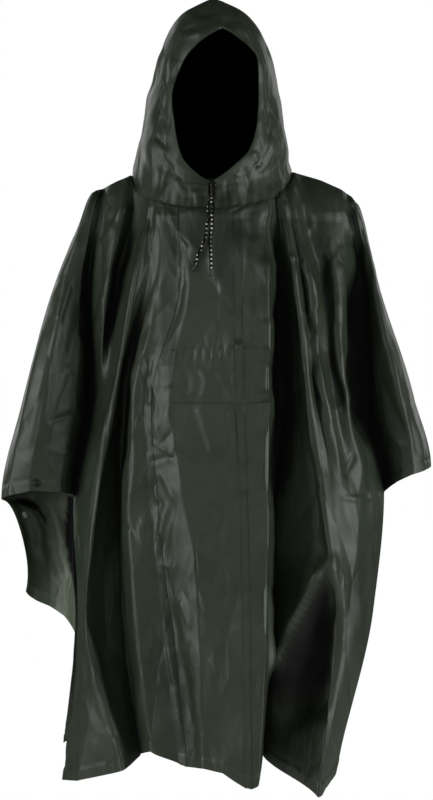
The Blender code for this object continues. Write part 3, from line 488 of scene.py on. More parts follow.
BACK_CREASES = (
    ("spine_ridge_upper", 8, 5, "sharp", ((-24, 10), (-20, -90), (-24, -210), (-22, -330))),
    ("spine_ridge_lower", 8, 5, "sharp", ((-22, -360), (-14, -500), (-8, -680), (-10, -880))),
    ("left_ridge_upper", 7, 5, "sharp", ((60, 6), (66, -100), (70, -230), (76, -370))),
    ("left_ridge_lower", 8, 5, "sharp", ((76, -390), (84, -520), (92, -680), (92, -890))),
    ("right_ridge_upper", 7, 4, "sharp", ((-94, 2), (-104, -110), (-112, -250), (-112, -380))),
    ("right_ridge_lower", 8, 5, "sharp", ((-112, -400), (-110, -540), (-108, -700), (-116, -880))),
    ("valley_spine_left", 9, -6, "soft", ((24, -40), (24, -200), (30, -420), (40, -640))),
    ("valley_spine_right", 9, -5, "soft", ((-66, -60), (-72, -240), (-64, -480), (-58, -700))),
    ("flank_right", 8, -6, "sharp", ((-146, -60), (-160, -200), (-172, -360))),
    ("flank_left", 8, -6, "sharp", ((150, -30), (166, -180), (180, -340))),
    ("flank_left_low", 9, 6, "soft", ((178, -380), (190, -520), (186, -700), (170, -850))),
    ("small_of_back_1", 10, -6, "soft", ((-90, -330), (-30, -352), (30, -348), (84, -322))),
    ("small_of_back_2", 7, 4, "sharp", ((-70, -372), (-10, -390), (52, -380))),
    ("diagonal_right", 11, 8, "soft", ((-176, -520), (-130, -600), (-90, -700), (-74, -790))),
    ("diagonal_right_hollow", 14, -9, "soft", ((-168, -590), (-136, -680), (-112, -790))),
    ("diagonal_left", 9, 6, "soft", ((150, -560), (120, -650), (104, -760))),
    ("yoke_right_1", 6, 4, "sharp", ((-120, 8), (-150, -40), (-176, -110))),
    ("yoke_right_2", 6, -4, "sharp", ((-140, 0), (-176, -46), (-204, -120))),
    ("yoke_right_3", 6, 3, "sharp", ((-168, 0), (-206, -60), (-236, -150))),
    ("yoke_left_1", 6, 4, "sharp", ((112, 14), (146, -34), (170, -110))),
    ("yoke_left_2", 6, -4, "sharp", ((136, 10), (176, -36), (204, -112))),
    ("yoke_left_3", 6, 3, "sharp", ((170, 0), (208, -54), (236, -140))),
    ("sleeve_right_1", 9, 5, "soft", ((-226, -120), (-262, -260), (-296, -420), (-300, -500))),
    ("sleeve_right_2", 8, -5, "soft", ((-238, -150), (-284, -300), (-326, -450))),
    ("sleeve_right_3", 6, -4, "sharp", ((-300, -300), (-270, -318), (-240, -316))),
    ("sleeve_left_1", 9, 5, "soft", ((240, -130), (272, -250), (304, -400))),
    ("sleeve_left_2", 8, -5, "soft", ((250, -160), (290, -290), (322, -420))),
    ("sleeve_left_3", 6, -4, "sharp", ((300, -286), (276, -306), (250, -310))),
    ("wing_1", 6, 5, "sharp", ((-332, -524), (-310, -560), (-300, -620))),
    ("wing_2", 6, -5, "sharp", ((-322, -512), (-296, -556), (-284, -630))),
    ("wing_3", 7, 5, "soft", ((-300, -520), (-272, -580), (-262, -650))),
    ("wing_4", 6, -4, "sharp", ((-276, -516), (-254, -580), (-246, -660))),
    ("wing_slit", 8, 9, "soft", ((-239, -505), (-244, -562), (-238, -612), (-229, -670))),
    ("wing_turnover", 6, 7, "soft", ((-330, -506), (-306, -512), (-291, -524), (-278, -548))),
    ("wing_corner", 5, -5, "sharp", ((-320, -512), (-300, -522), (-288, -544), (-292, -580),
     (-304, -606))),
    ("hem_wave_1", 8, 5, "soft", ((-160, -800), (-150, -850), (-146, -893))),
    ("hem_wave_2", 8, -5, "soft", ((0, -810), (14, -850), (18, -900))),
    ("hem_wave_3", 8, 5, "soft", ((128, -800), (122, -850), (118, -898))),
)

# Patches of crumpled cloth: middle, half sizes, height and grain of the facets, in mm
Crumple = namedtuple("Crumple", "name x z half_x half_z height grain")
FRONT_CRUMPLES = (
    Crumple("beside_pocket", -92, -452, 34, 120, 2.6, 22),
    Crumple("chest_right", -104, -250, 50, 100, 1.3, 28),
    Crumple("pocket_front", 18, -330, 70, 60, 0.9, 30),
    Crumple("hem_corner", -222, -915, 34, 50, 3.0, 20),
    Crumple("hem_middle", -60, -930, 70, 26, 1.0, 22),
    Crumple("sleeve_right_cuff", -270, -440, 50, 50, 1.3, 24),
    Crumple("sleeve_left_cuff", 320, -420, 40, 60, 1.0, 24),
    Crumple("shoulder_left", 226, -70, 30, 60, 1.0, 20),
    Crumple("shoulder_right", -150, -20, 50, 40, 0.7, 24),
    Crumple("hip_left", 225, -480, 30, 70, 1.0, 24),
    Crumple("chin", 0, -60, 90, 40, 0.9, 20),
)
BACK_CRUMPLES = (
    Crumple("open_wing", -290, -580, 50, 90, 1.8, 22),
    Crumple("small_of_back", 10, -420, 120, 90, 0.8, 28),
    Crumple("hem_right", -180, -880, 60, 40, 1.6, 20),
    Crumple("shoulder_blades", 0, -100, 160, 60, 0.8, 26),
    Crumple("sleeve_left_cuff", 320, -420, 40, 60, 1.0, 24),
)


# --- noise and heights ----------------------------------------------------------------
def value_noise(u, v, seed):
    """Smooth heights from -1 to 1 on a unit lattice, the same every time."""
    column = np.floor(u).astype(np.int64)
    row = np.floor(v).astype(np.int64)

    def corner(right, up):
        mixed = (column + right) * 374761393 + (row + up) * 668265263 + seed * 974711
        mixed = (mixed ^ (mixed >> 13)) * 1274126177 & 0xFFFFFFFF
        return ((mixed ^ (mixed >> 16)) & 0xFFFF) / 32767.5 - 1.0

    across = u - column
    along = v - row
    across = across * across * (3 - 2 * across)
    along = along * along * (3 - 2 * along)
    low = corner(0, 0) * (1 - across) + corner(1, 0) * across
    high = corner(0, 1) * (1 - across) + corner(1, 1) * across
    return low * (1 - along) + high * along


# Three sets of folds that cross: lean in radians, share of the grain, and weight
CRUMPLE_SETS = ((0.30, 1.0, 1.0), (1.25, 1.35, 0.8), (2.45, 0.72, 0.5))


def crumpled(across, down, grain, seed):
    """Heights of crumpled cloth: flat facets that meet at sharp creases."""
    total = np.zeros(across.shape)
    for number, (lean, size, weight) in enumerate(CRUMPLE_SETS):
        run = across * math.cos(lean) + down * math.sin(lean)
        bend = value_noise(across / (grain * 1.8), down / (grain * 1.8), seed + 7 * number)
        place = run / (grain * size * 2) + 0.45 * bend
        total += weight * (1 - 4 * np.abs(place - np.floor(place) - 0.5))
    patchy = 0.55 + 0.45 * value_noise(across / (grain * 2.6), down / (grain * 2.6), seed + 3)
    return total * patchy / 1.6


SLIGHT_CREASE = 0.75  # share of their height that the narrow creases keep
SLIGHT_WIDTH = 8
PATH_STEP = 16.0
CREASE_REACH = 4.0  # in widths
FADE_IN = 0.22  # share of a crease's length over which it rises, and dies away
FADE_OUT = 0.28
OPEN_ANGLE = 24.0  # degrees of rise on both sides at which a fold starts to take painted shade
SHUT_ANGLE = 58.0


def soft_step(value):
    """An eased step from 0 to 1."""
    value = np.clip(value, 0.0, 1.0)
    return value * value * (3 - 2 * value)


def along_line(px, pz, line_x, line_z):
    """Distance of each point from a line, its share of the way along it, and how far
    beside and above the line it lies."""
    best = np.full(px.shape, 1e9)
    share = np.zeros(px.shape)
    beside = np.zeros(px.shape)
    above = np.zeros(px.shape)
    count = len(line_x) - 1
    for i in range(count):
        run_x = line_x[i + 1] - line_x[i]
        run_z = line_z[i + 1] - line_z[i]
        step = ((px - line_x[i]) * run_x + (pz - line_z[i]) * run_z) / (run_x ** 2 + run_z ** 2)
        step = np.clip(step, 0, 1)
        gap_x = px - line_x[i] - run_x * step
        gap_z = pz - line_z[i] - run_z * step
        gap = np.hypot(gap_x, gap_z)
        closer = gap < best
        best[closer] = gap[closer]
        share[closer] = (i + step[closer]) / count
        beside[closer] = gap_x[closer]
        above[closer] = gap_z[closer]
    return best, share, beside, above


def crease_profile(kind, gap, beside, above, width):
    """Share of a crease's height at a distance from its line."""
    if kind == "sharp":
        return (1 + (gap / width) ** 2) ** -1.5
    if kind == "soft":
        return np.exp(-0.7 * (gap / width) ** 2)
    fallen = {"fall_left": -beside, "fall_right": beside, "fall_low": -above}[kind]
    steep = np.exp(-((gap / (0.8 * width)) ** 2))
    return np.where(fallen > 0, steep, np.exp(-gap / (1.7 * width)))


def crease_heights(x, z, creases):
    """Height of all creases at each point: full along a path, nothing at its two ends."""
    total = np.zeros(x.shape)
    for number, row in enumerate(creases):
        crease = Crease(*row)
        path = np.array(crease.path, float)
        spans = np.hypot(*np.diff(path, axis=0).T)
        knots = np.concatenate([[0.0], np.cumsum(spans)])
        at = np.linspace(0, knots[-1], max(3, int(knots[-1] / PATH_STEP)) + 1)
        line_x = smooth(knots, path[:, 0], at)
        line_z = smooth(knots, path[:, 1], at)
        reach = CREASE_REACH * crease.width
        near = (x > line_x.min() - reach) & (x < line_x.max() + reach)
        near &= (z > line_z.min() - reach) & (z < line_z.max() + reach)
        if not near.any():
            continue
        gap, share, beside, above = along_line(x[near], z[near], line_x, line_z)
        fade = soft_step(share / FADE_IN) * soft_step((1 - share) / FADE_OUT)
        uneven = 1 + 0.3 * value_noise(share * knots[-1] / 45, np.zeros(gap.shape), 40 + number)
        width = crease.width * (0.8 + 0.35 * uneven)
        profile = crease_profile(crease.kind, gap, beside, above, width)
        pressed = SLIGHT_CREASE if crease.width < SLIGHT_WIDTH else 1.0
        total[near] += pressed * crease.height * profile * fade * uneven
    return total


def crumple_heights(x, z, across, down, crumples):
    """Height of all crumpled patches at each point."""
    total = np.zeros(x.shape)
    for number, patch in enumerate(crumples):
        spread = ((x - patch.x) / patch.half_x) ** 2 + ((z - patch.z) / patch.half_z) ** 2
        near = spread < 5
        total[near] += (
            patch.height * np.exp(-0.8 * spread[near])
            * crumpled(across[near], down[near], patch.grain, 70 + number)
        )
    return total


# --- grids and thin shells ------------------------------------------------------------
def even_steps(stops, spacing):
    """Values from the first stop to the last, with every stop among them."""
    values = []
    for start, end in zip(stops, stops[1:]):
        count = max(1, round((end - start) / spacing))
        values += [start + (end - start) * step / count for step in range(count)]
    return np.array(values + [stops[-1]])


def row_at(down, level):
    """The row or column that lies closest to a place on the cloth."""
    return int(np.argmin(np.abs(down - level)))


def as_seen(grid):
    """x and z at which points line up, from the camera, with the shoulder line's plane."""
    scale = CAMERA_DISTANCE / (CAMERA_DISTANCE + grid[..., 1] * MM)
    eye_z = CAMERA_HEIGHT / MM
    return grid[..., 0] * scale, eye_z + (grid[..., 2] - eye_z) * scale


def panel_grid(folds, behind, spacing):
    """Points [row, column, xyz] of a panel's outer face, with how far down and across
    the cloth each row and column lies, and how far across each fold lies."""
    levels = [fold_levels(fold, behind) for fold in folds]
    stops = sorted(set(DOWN_LEVELS) | {POCKET_TOP, POCKET_FOOT})
    down = even_steps(stops, spacing)
    x = np.array([smooth(DOWN_LEVELS, level[0], down) for level in levels])
    out = np.array([smooth(DOWN_LEVELS, level[1], down) for level in levels])
    z = np.array([np.interp(down, DOWN_LEVELS, level[2]) for level in levels])
    top = down < DOWN_LEVELS[1]
    turn = math.pi / 2 * down[top] / DOWN_LEVELS[1]
    for index, (_, fold_out, fold_z) in enumerate(levels):
        out[index, top] = fold_out[0] + (fold_out[1] - fold_out[0]) * np.sin(turn)
        z[index, top] = fold_z[0] + (fold_z[1] - fold_z[0]) * (1 - np.cos(turn))
    steps = np.hypot(np.diff(x, axis=0), np.diff(out, axis=0)).mean(axis=1)
    knots = np.concatenate([[0.0], np.cumsum(steps)])
    across = even_steps(knots, spacing)
    grid = np.zeros((len(down), len(across), 3))
    for row in range(len(down)):
        rounded = smooth(knots, out[:, row], across)
        folded = np.interp(across, knots, out[:, row])
        grid[row, :, 0] = smooth(knots, x[:, row], across)
        grid[row, :, 1] = -(CRISPNESS * folded + (1 - CRISPNESS) * rounded)
        grid[row, :, 2] = np.interp(across, knots, z[:, row])
    edge = np.array([neck_point(value, behind) for value in grid[0, :, 0]])
    miss_y = -edge[:, 0] - grid[0, :, 1]
    miss_z = edge[:, 1] - grid[0, :, 2]
    fade = (1 - np.clip(down / NECK_FADE, 0, 1)) ** 2
    grid[:, :, 1] += fade[:, None] * miss_y
    grid[:, :, 2] += fade[:, None] * miss_z
    if behind:
        grid[:, :, 1] *= -1
    places = {fold.name: row_at(across, knot) for fold, knot in zip(folds, knots)}
    return grid, down, across, places


def corners_of(keep):
    """Which grid points are a corner of a kept cell."""
    used = np.zeros((keep.shape[0] + 1, keep.shape[1] + 1), bool)
    used[:-1, :-1] |= keep
    used[1:, :-1] |= keep
    used[:-1, 1:] |= keep
    used[1:, 1:] |= keep
    return used


def grid_normals(grid, outward, keep):
    """Unit normals of a grid from the cells that are kept; outward turns them."""
    falling = grid[1:, 1:] - grid[:-1, :-1]
    rising = grid[:-1, 1:] - grid[1:, :-1]
    facing = np.cross(falling, rising) * outward
    facing /= np.maximum(np.linalg.norm(facing, axis=2, keepdims=True), 1e-6)
    facing *= keep[:, :, None]
    sums = np.zeros_like(grid)
    sums[:-1, :-1] += facing
    sums[1:, :-1] += facing
    sums[:-1, 1:] += facing
    sums[1:, 1:] += facing
    return sums / np.maximum(np.linalg.norm(sums, axis=2, keepdims=True), 1e-9)


def into_plane(normals, axis, *chosen):
    """Turns the normals on a seam into its plane, so that the walls meet there."""
    for part in chosen:
        normals[part + (axis,)] = 0.0
        normals[part] /= np.maximum(np.linalg.norm(normals[part], axis=-1, keepdims=True), 1e-6)


def fold_shade(grid, outward, kept, reach):
    """How far the cloth on its left and right hides each point, from 0 in the open to 1."""
    forward = np.where(corners_of(kept), grid[..., 1] * outward, -FAR)
    x = grid[..., 0]
    left = np.zeros(x.shape)
    right = np.zeros(x.shape)
    for step in range(1, reach + 1):
        gap = np.maximum(x[:, step:] - x[:, :-step], 1.0)
        rise = (forward[:, :-step] - forward[:, step:]) / gap
        left[:, step:] = np.maximum(left[:, step:], rise)
        right[:, :-step] = np.maximum(right[:, :-step], -rise)
    hidden = np.degrees(np.arctan(np.minimum(left, right)))
    return soft_step((hidden - OPEN_ANGLE) / (SHUT_ANGLE - OPEN_ANGLE))


def in_collection(name, data):
    """A new object in the poncho's collection."""
    piece = bpy.data.objects.new(name, data)
    poncho.objects.link(piece)
    return piece


def cloth_shell(
    name, grid, normals, low, high, keep, outward, uv, materials, shade=None, inner_shade=None
):
    """A closed thin wall of quads over the kept cells, from low to high off the grid."""
    used = corners_of(keep)
    count = int(used.sum())
    index = np.full(grid.shape[:2], -1)
    index[used] = np.arange(count)
    rows, columns = np.nonzero(keep)
    cells = np.stack(
        [index[rows, columns], index[rows + 1, columns],
         index[rows + 1, columns + 1], index[rows, columns + 1]], axis=1,
    )
    if outward < 0:
        cells = cells[:, ::-1]
    points = np.concatenate([(grid + normals * high)[used], (grid + normals * low)[used]])
    starts = cells.reshape(-1)
    ends = np.roll(cells, -1, axis=1).reshape(-1)
    keys = np.minimum(starts, ends) * count + np.maximum(starts, ends)
    _, first, times = np.unique(keys, return_index=True, return_counts=True)
    rim = first[times == 1]
    rims = np.stack([ends[rim], starts[rim], starts[rim] + count, ends[rim] + count], axis=1)
    faces = np.concatenate([cells, cells[:, ::-1] + count, rims])
    mesh = bpy.data.meshes.new(name)
    mesh.from_pydata((points * MM).tolist(), [], faces.tolist())
    layer = mesh.uv_layers.new(name="cloth")
    flat = np.concatenate([uv[used], uv[used]])
    layer.data.foreach_set("uv", (flat[faces.reshape(-1)] * MM).astype(np.float32).reshape(-1))
    slots = np.zeros(len(faces), np.int32)
    if len(materials) > 1:
        slots[len(cells):2 * len(cells)] = 1
    mesh.polygons.foreach_set("material_index", slots)
    mesh.shade_smooth()
    # fold_shade: painted shade per point, which darkens the cloth's colour in its folds
    depth = np.zeros(len(points), np.float32)
    if shade is not None:
        depth[:count] = shade[used]
    if inner_shade is not None:
        depth[count:] = inner_shade[used]
    mesh.attributes.new("fold_shade", "FLOAT", "POINT").data.foreach_set("value", depth)
    border = np.zeros(2 * count, bool)
    border[starts[rim]] = True
    border[ends[rim]] = True
    border[count:] = border[:count]
    pairs = np.empty(len(mesh.edges) * 2, np.int32)
    mesh.edges.foreach_get("vertices", pairs)
    pairs = pairs.reshape(-1, 2)
    sharp = border[pairs[:, 0]] & border[pairs[:, 1]]
    mesh.edges.foreach_set("use_edge_sharp", sharp)
    mesh.update()
    for material in materials:
        mesh.materials.append(material)
    return in_collection(name, mesh)


def uv_of(across, down):
    """Cloth coordinates [row, column, 2] of a grid, in mm."""
    return np.stack(np.meshgrid(across, down), axis=2)


# --- materials ------------------------------------------------------------------------
OLIVE_LIGHT = (0.0360, 0.0500, 0.0300)
OLIVE_DARK = (0.0210, 0.0305, 0.0175)
PAINTED_FOLD_SHADE = (0.0022, 0.0028, 0.0020)  # painted shade: the colour put at the bottom of a shut fold
# The inside's own olive, raised far above the outside's as painted light, so the open wing's inner
# face looks lit
INSIDE_LIGHT = (0.105, 0.135, 0.088)
INSIDE_DARK = (0.080, 0.105, 0.067)
HOOD_SHADOW_PALE = (0.0012, 0.0014, 0.0012)  # painted shadow: near black in place of the cloth's olive, deep inside the hood
HOOD_SHADOW_DEEP = (0.0007, 0.0008, 0.0007)
THREAD_LIGHT = (0.050, 0.058, 0.045)
THREAD_DARK = (0.030, 0.036, 0.027)
CORD_BLACK = (0.002, 0.002, 0.002)
FLECK_WHITE = (0.62, 0.63, 0.61)
OUTER_ROUGHNESS = 0.43
FLECK_PITCH = 0.0140


class Nodes:
    """A material's node tree, with short ways to add nodes and links."""

    def __init__(self, name):
        self.material = bpy.data.materials.new(name)
        self.material.use_nodes = True
        self.tree = self.material.node_tree
        self.shader = self.tree.nodes["Principled BSDF"]
        at = self.add("ShaderNodeTexCoord")
        self.place = at.outputs["Object"]
        self.cloth = at.outputs["UV"]

    def add(self, kind, **settings):
        """A new node, with its properties and its inputs set by name."""
        node = self.tree.nodes.new(kind)
        for setting, value in settings.items():
            if hasattr(node, setting):
                setattr(node, setting, value)
            else:
                node.inputs[setting.replace("_", " ")].default_value = value
        return node

    def feed(self, socket, value):
        """Links an output to a socket, or sets the socket to a number or a colour."""
        if isinstance(value, bpy.types.NodeSocket):
            self.tree.links.new(value, socket)
        elif isinstance(value, tuple):
            socket.default_value = (*value, 1.0)
        else:
            socket.default_value = value

    def look(self, label, value):
        """Links or sets one socket of the shader."""
        self.feed(self.shader.inputs[label], value)

    def texture(self, kind, place, **settings):
        """A new texture node that is read at a place."""
        node = self.add(kind, **settings)
        self.feed(node.inputs["Vector"], place)
        return node

    def noise(self, place, scale, detail, roughness=0.5, **settings):
        """The value of a noise with a grain of about 1 / scale."""
        settings.update(Scale=scale, Detail=detail, Roughness=roughness)
        return self.texture("ShaderNodeTexNoise", place, **settings).outputs["Fac"]

    def math(self, operation, *values, clamp=False):
        """The result of a calculation on outputs and numbers."""
        node = self.add("ShaderNodeMath", operation=operation, use_clamp=clamp)
        for socket, value in zip(node.inputs, values):
            self.feed(socket, value)
        return node.outputs["Value"]

    def mix(self, share, one, two):
        """Colour between two colours, by a 0 to 1 output."""
        node = self.add("ShaderNodeMix", data_type="RGBA")
        for number, value in ((0, share), (6, one), (7, two)):
            self.feed(node.inputs[number], value)
        return node.outputs[2]

    def ranged(self, value, low, high, start=0.0, end=1.0):
        """The value stretched from low-high to start-end."""
        node = self.add("ShaderNodeMapRange", From_Min=low, From_Max=high, To_Min=start, To_Max=end)
        self.feed(node.inputs["Value"], value)
        return node.outputs["Result"]

    def bump(self, height, strength, distance, below=None):
        """A normal tilted by a height, on top of the normal below."""
        node = self.add("ShaderNodeBump", Strength=strength, Distance=distance)
        self.feed(node.inputs["Height"], height)
        if below is not None:
            self.feed(node.inputs["Normal"], below)
        return node.outputs["Normal"]


def flat_facets(nodes, place, size, slope, open_from):
    """Heights of flat facets about `size` across, which meet at crisp creases. They lie
    only where a patchy noise is over `open_from`."""
    cells = nodes.texture("ShaderNodeTexVoronoi", place, feature="DISTANCE_TO_EDGE", Scale=1 / size)
    patchy = nodes.noise(place, scale=0.35 / size, detail=1.0)
    amount = nodes.ranged(patchy, open_from, open_from + 0.14, 0.0, slope * size)
    return nodes.math("MULTIPLY", cells.outputs["Distance"], amount)


def coated_nylon(name, light, dark, roughness, crinkle):
    """Dark taffeta with a soft coated gloss: faded patches, flat facets, fine crinkles
    and its weave. The fold_shade attribute paints shade inside shut folds, darker and duller."""
    nodes = Nodes(name)
    # Painted shade: fold_shade mixes the colour towards near black and raises the roughness in
    # folds
    shut = nodes.add("ShaderNodeAttribute", attribute_name="fold_shade").outputs["Fac"]
    faded = nodes.ranged(nodes.noise(nodes.place, scale=6.0, detail=4.0, roughness=0.55), 0.3, 0.7)
    nodes.look("Base Color", nodes.mix(shut, nodes.mix(faded, dark, light), PAINTED_FOLD_SHADE))
    rubbed = nodes.noise(nodes.place, scale=34.0, detail=3.0)
    gloss = nodes.ranged(rubbed, 0.3, 0.7, roughness - 0.05, roughness + 0.07)
    nodes.look("Roughness", nodes.math("MULTIPLY_ADD", shut, 0.45, gloss, clamp=True))
    stretch = nodes.texture("ShaderNodeMapping", nodes.place)
    stretch.inputs["Scale"].default_value = (1.0, 1.0, 0.45)
    hang = stretch.outputs["Vector"]
    folds = nodes.noise(hang, scale=22.0, detail=4.0, noise_type="RIDGED_MULTIFRACTAL")
    fine = nodes.noise(hang, scale=120.0, detail=2.0)
    warp, weft = (
        nodes.texture(
            "ShaderNodeTexWave", nodes.cloth, bands_direction=way, Scale=420.0, Distortion=0.4
        ).outputs["Fac"]
        for way in ("X", "Y")
    )
    threads = nodes.math("MAXIMUM", warp, weft)
    normal = nodes.bump(flat_facets(nodes, hang, size=0.085, slope=0.17, open_from=0.30), 1.0, 1.0)
    small = flat_facets(nodes, hang, size=0.026, slope=0.13, open_from=0.50)
    normal = nodes.bump(small, 1.0, 1.0, normal)
    normal = nodes.bump(folds, crinkle, 0.0012, normal)
    normal = nodes.bump(fine, 0.35 * crinkle, 0.0008, normal)
    nodes.look("Normal", nodes.bump(threads, 0.10, 0.00010, normal))
    nodes.shader.inputs["Specular IOR Level"].default_value = 0.5
    nodes.shader.inputs["Sheen Weight"].default_value = 0.0
    return nodes.material


def thread_polyester():
    """Dull olive sewing thread with its twist."""
    nodes = Nodes("sewing_thread")
    twist = nodes.noise(nodes.place, scale=900.0, detail=1.0)
    nodes.look("Base Color", nodes.mix(nodes.ranged(twist, 0.35, 0.65), THREAD_DARK, THREAD_LIGHT))
    nodes.look("Normal", nodes.bump(twist, 0.3, 0.0002))
    nodes.shader.inputs["Roughness"].default_value = 0.6
    return nodes.material


def cord_weave(name, lean):
    """Black braid with white reflective flecks where two slanted sets of strands cross."""
    nodes = Nodes(name)
    split = nodes.texture("ShaderNodeSeparateXYZ", nodes.place)
    waves = []
    for slope in (lean, -lean):
        slant = nodes.math("MULTIPLY_ADD", split.outputs["X"], slope, split.outputs["Z"])
        waves.append(nodes.math("SINE", nodes.math("MULTIPLY", slant, 2 * math.pi / FLECK_PITCH)))
    fleck = nodes.ranged(nodes.math("MULTIPLY", *waves), 0.50, 0.66)
    strands = nodes.texture(
        "ShaderNodeTexWave", nodes.place, bands_direction="DIAGONAL", Scale=230.0, Distortion=1.0
    )
    nodes.look("Base Color", nodes.mix(fleck, CORD_BLACK, FLECK_WHITE))
    nodes.look("Normal", nodes.bump(strands.outputs["Fac"], 0.5, 0.0005))
    nodes.shader.inputs["Roughness"].default_value = 0.7
    nodes.shader.inputs["Specular IOR Level"].default_value = 0.15
    return nodes.material


def worn_finish(name, colour, edge, roughness, metallic):
    """Enamel, steel or moulded plastic with fine scratches and rubbed patches."""
    nodes = Nodes(name)
    rubbed = nodes.noise(nodes.place, scale=700.0, detail=4.0, roughness=0.6)
    nodes.look("Base Color", nodes.mix(nodes.ranged(rubbed, 0.5, 0.72), colour, edge))
    nodes.look("Roughness", nodes.ranged(rubbed, 0.3, 0.7, roughness - 0.06, roughness + 0.12))
    nodes.look("Normal", nodes.bump(rubbed, 0.12, 0.0002))
    nodes.shader.inputs["Metallic"].default_value = metallic
    return nodes.material


poncho = bpy.data.collections.new("poncho_cloth")
bpy.context.scene.collection.children.link(poncho)

front_nylon, back_nylon, hood_nylon, patch_nylon, seam_nylon = (
    coated_nylon(name, OLIVE_LIGHT, OLIVE_DARK, OUTER_ROUGHNESS, crinkle)
    for name, crinkle in (
        ("front_coated_nylon", 0.22), ("back_coated_nylon", 0.22), ("hood_coated_nylon", 0.26),
        ("pocket_coated_nylon", 0.22), ("felled_seam_nylon", 0.24),
    )
)
# Inside faces: the cloth's olive with painted light in its colour
inside_nylon = coated_nylon("inside_nylon_painted_light", INSIDE_LIGHT, INSIDE_DARK, 0.46, 0.2)
# The hood's inner faces: painted shadow, near black and dull, in place of the cloth's olive
hood_inside = coated_nylon("hood_inside_painted_shadow", HOOD_SHADOW_PALE, HOOD_SHADOW_DEEP, 0.75, 0.12)
hood_inside.node_tree.nodes["Principled BSDF"].inputs["Specular IOR Level"].default_value = 0.05
thread = thread_polyester()

# --- front panel ----------------------------------------------------------------------
front, front_down, front_across, front_at = panel_grid(FRONT_FOLDS, False, CELL)
cuff_row = row_at(front_down, CUFF_DOWN)
front_rows = np.arange(len(front_down) - 1)[:, None]
front_columns = np.arange(len(front_across) - 1)[None, :]
front_keep = (front_rows < cuff_row) | (
    (front_columns >= front_at["side_r"]) & (front_columns < front_at["side_l"])
)
front_uv = uv_of(front_across, front_down)
sideways, downward = front_uv[..., 0], front_uv[..., 1]


def fold_across(name):
    """How far across the front one of its fold lines lies."""
    return front_across[front_at[name]]


def stitched_hem(to_edge, along, depth):
    """A folded hem: a raised band, a sewn groove at its top, and slack between stitches."""
    band = HEM_BAND * soft_step((depth + 2 - to_edge) / 4)
    groove = -HEM_GROOVE * np.exp(-((to_edge - depth) / 2.6) ** 2)
    slack = HEM_SLACK * value_noise(along / 17.0, to_edge * 0.01, seed=31)
    return band + groove + slack * np.exp(-np.abs(to_edge - depth) / 16)


def puckers(offset, along, reach, height, pitch, seed):
    """Small slanting tucks that a row of stitches draws up on both sides of it."""
    slanted = along + 0.9 * np.abs(offset) + 6 * value_noise(along / 31, offset / 23, seed)
    ridged = 1 - 2 * np.abs(value_noise(slanted / pitch, offset / (pitch * 2.4), seed + 1))
    strength = np.clip(0.5 + 0.8 * value_noise(along / (pitch * 3), offset * 0.02, seed + 3), 0, 1)
    return height * ridged * strength * np.exp(-np.abs(offset) / reach)


def neck_gather(x, off_seam, seed):
    """Small tucks drawn up by the neck seam, the same on both sides of it."""
    wander = 5 * value_noise(x / 30, x * 0, seed)
    height = GATHER_HEIGHT * np.sin(x * 2 * math.pi / GATHER_PITCH + wander)
    height *= 0.65 + 0.35 * value_noise(x / 24, x * 0 + 0.5, seed + 1)
    return height * np.exp(-off_seam / NECK_FADE)


def along_neck(grid, down, seed):
    """The neck seam's tucks on a panel, up to the two ends of the seam."""
    near_neck = soft_step((NECK_HALF_WIDTH - np.abs(grid[0, :, 0] - NECK_X)) / 20)
    return neck_gather(grid[..., 0], down, seed) * near_neck[None, :]


def front_lift():
    """How far each point of the front stands off its plain folds, in mm."""
    seen_x, seen_z = as_seen(front)
    lift = crease_heights(seen_x, seen_z, FRONT_CREASES)
    past_strip = sideways - fold_across("strip_back")
    lift += crease_heights(seen_x, seen_z, HOLLOW_CREASES) * soft_step(past_strip / 12 + 0.3)
    lift += crumple_heights(seen_x, seen_z, sideways, downward, FRONT_CRUMPLES)
    low = soft_step((downward - 480) / 90)
    busy = 1 - 0.8 * low * soft_step((sideways - fold_across("seam_r_b")) / 30)
    lift += FINE_FACET * busy * crumpled(sideways, downward * FINE_DRAWN, grain=26, seed=11)
    lift += BROAD_FACET * busy * crumpled(sideways, downward * BROAD_DRAWN, grain=62, seed=13)
    lift += 1.6 * value_noise(sideways / 46, downward / 170, seed=21)
    in_body = (sideways >= fold_across("side_r")) & (sideways <= fold_across("side_l"))
    to_hem = np.where(in_body, DOWN_LEVELS[-1] - downward, CUFF_DOWN - downward)
    lift += stitched_hem(to_hem, sideways, HEM_DEPTH)
    for number, (one, two) in enumerate((("seam_r_a", "seam_r_b"), ("seam_l_a", "seam_l_b"))):
        middle = (fold_across(one) + fold_across(two)) / 2
        off = sideways - middle
        lift += puckers(off, downward, reach=13, height=1.2, pitch=19, seed=51 + number)
        lift += puckers(off, downward, reach=7, height=0.7, pitch=11, seed=61 + number)
    in_pocket = (sideways > fold_across("pocket_r") - 12) & (sideways < fold_across("seam_l_a"))
    wander = 3 * value_noise(sideways / 26, downward * 0.01, seed=91)
    tucks = POCKET_TUCK * np.sin(sideways * 2 * math.pi / TUCK_PITCH + wander)
    lift += tucks * np.exp(-np.abs(downward - POCKET_TOP - 10) / 9) * in_pocket
    lift *= soft_step(downward / TOP_EASE)
    lift += along_neck(front, downward, FRONT_GATHER)
    to_sleeve_top = np.minimum(sideways, front_across[-1] - sideways)
    to_closed_side = np.where(downward > CUFF_DOWN, fold_across("side_l") - sideways, FAR)
    return lift * soft_step(to_sleeve_top / EDGE_EASE) * soft_step(to_closed_side / SIDE_EASE)


def inside(outline, x, z, soft):
    """1 inside a convex outline, 0 outside it, and eased over `soft` mm between them."""
    depth = np.full(x.shape, FAR)
    for (x0, z0), (x1, z1) in zip(outline, outline[1:] + outline[:1]):
        inward = (x1 - x0) * (z - z0) - (z1 - z0) * (x - x0)
        depth = np.minimum(depth, inward / math.hypot(x1 - x0, z1 - z0))
    return soft_step(depth / soft)


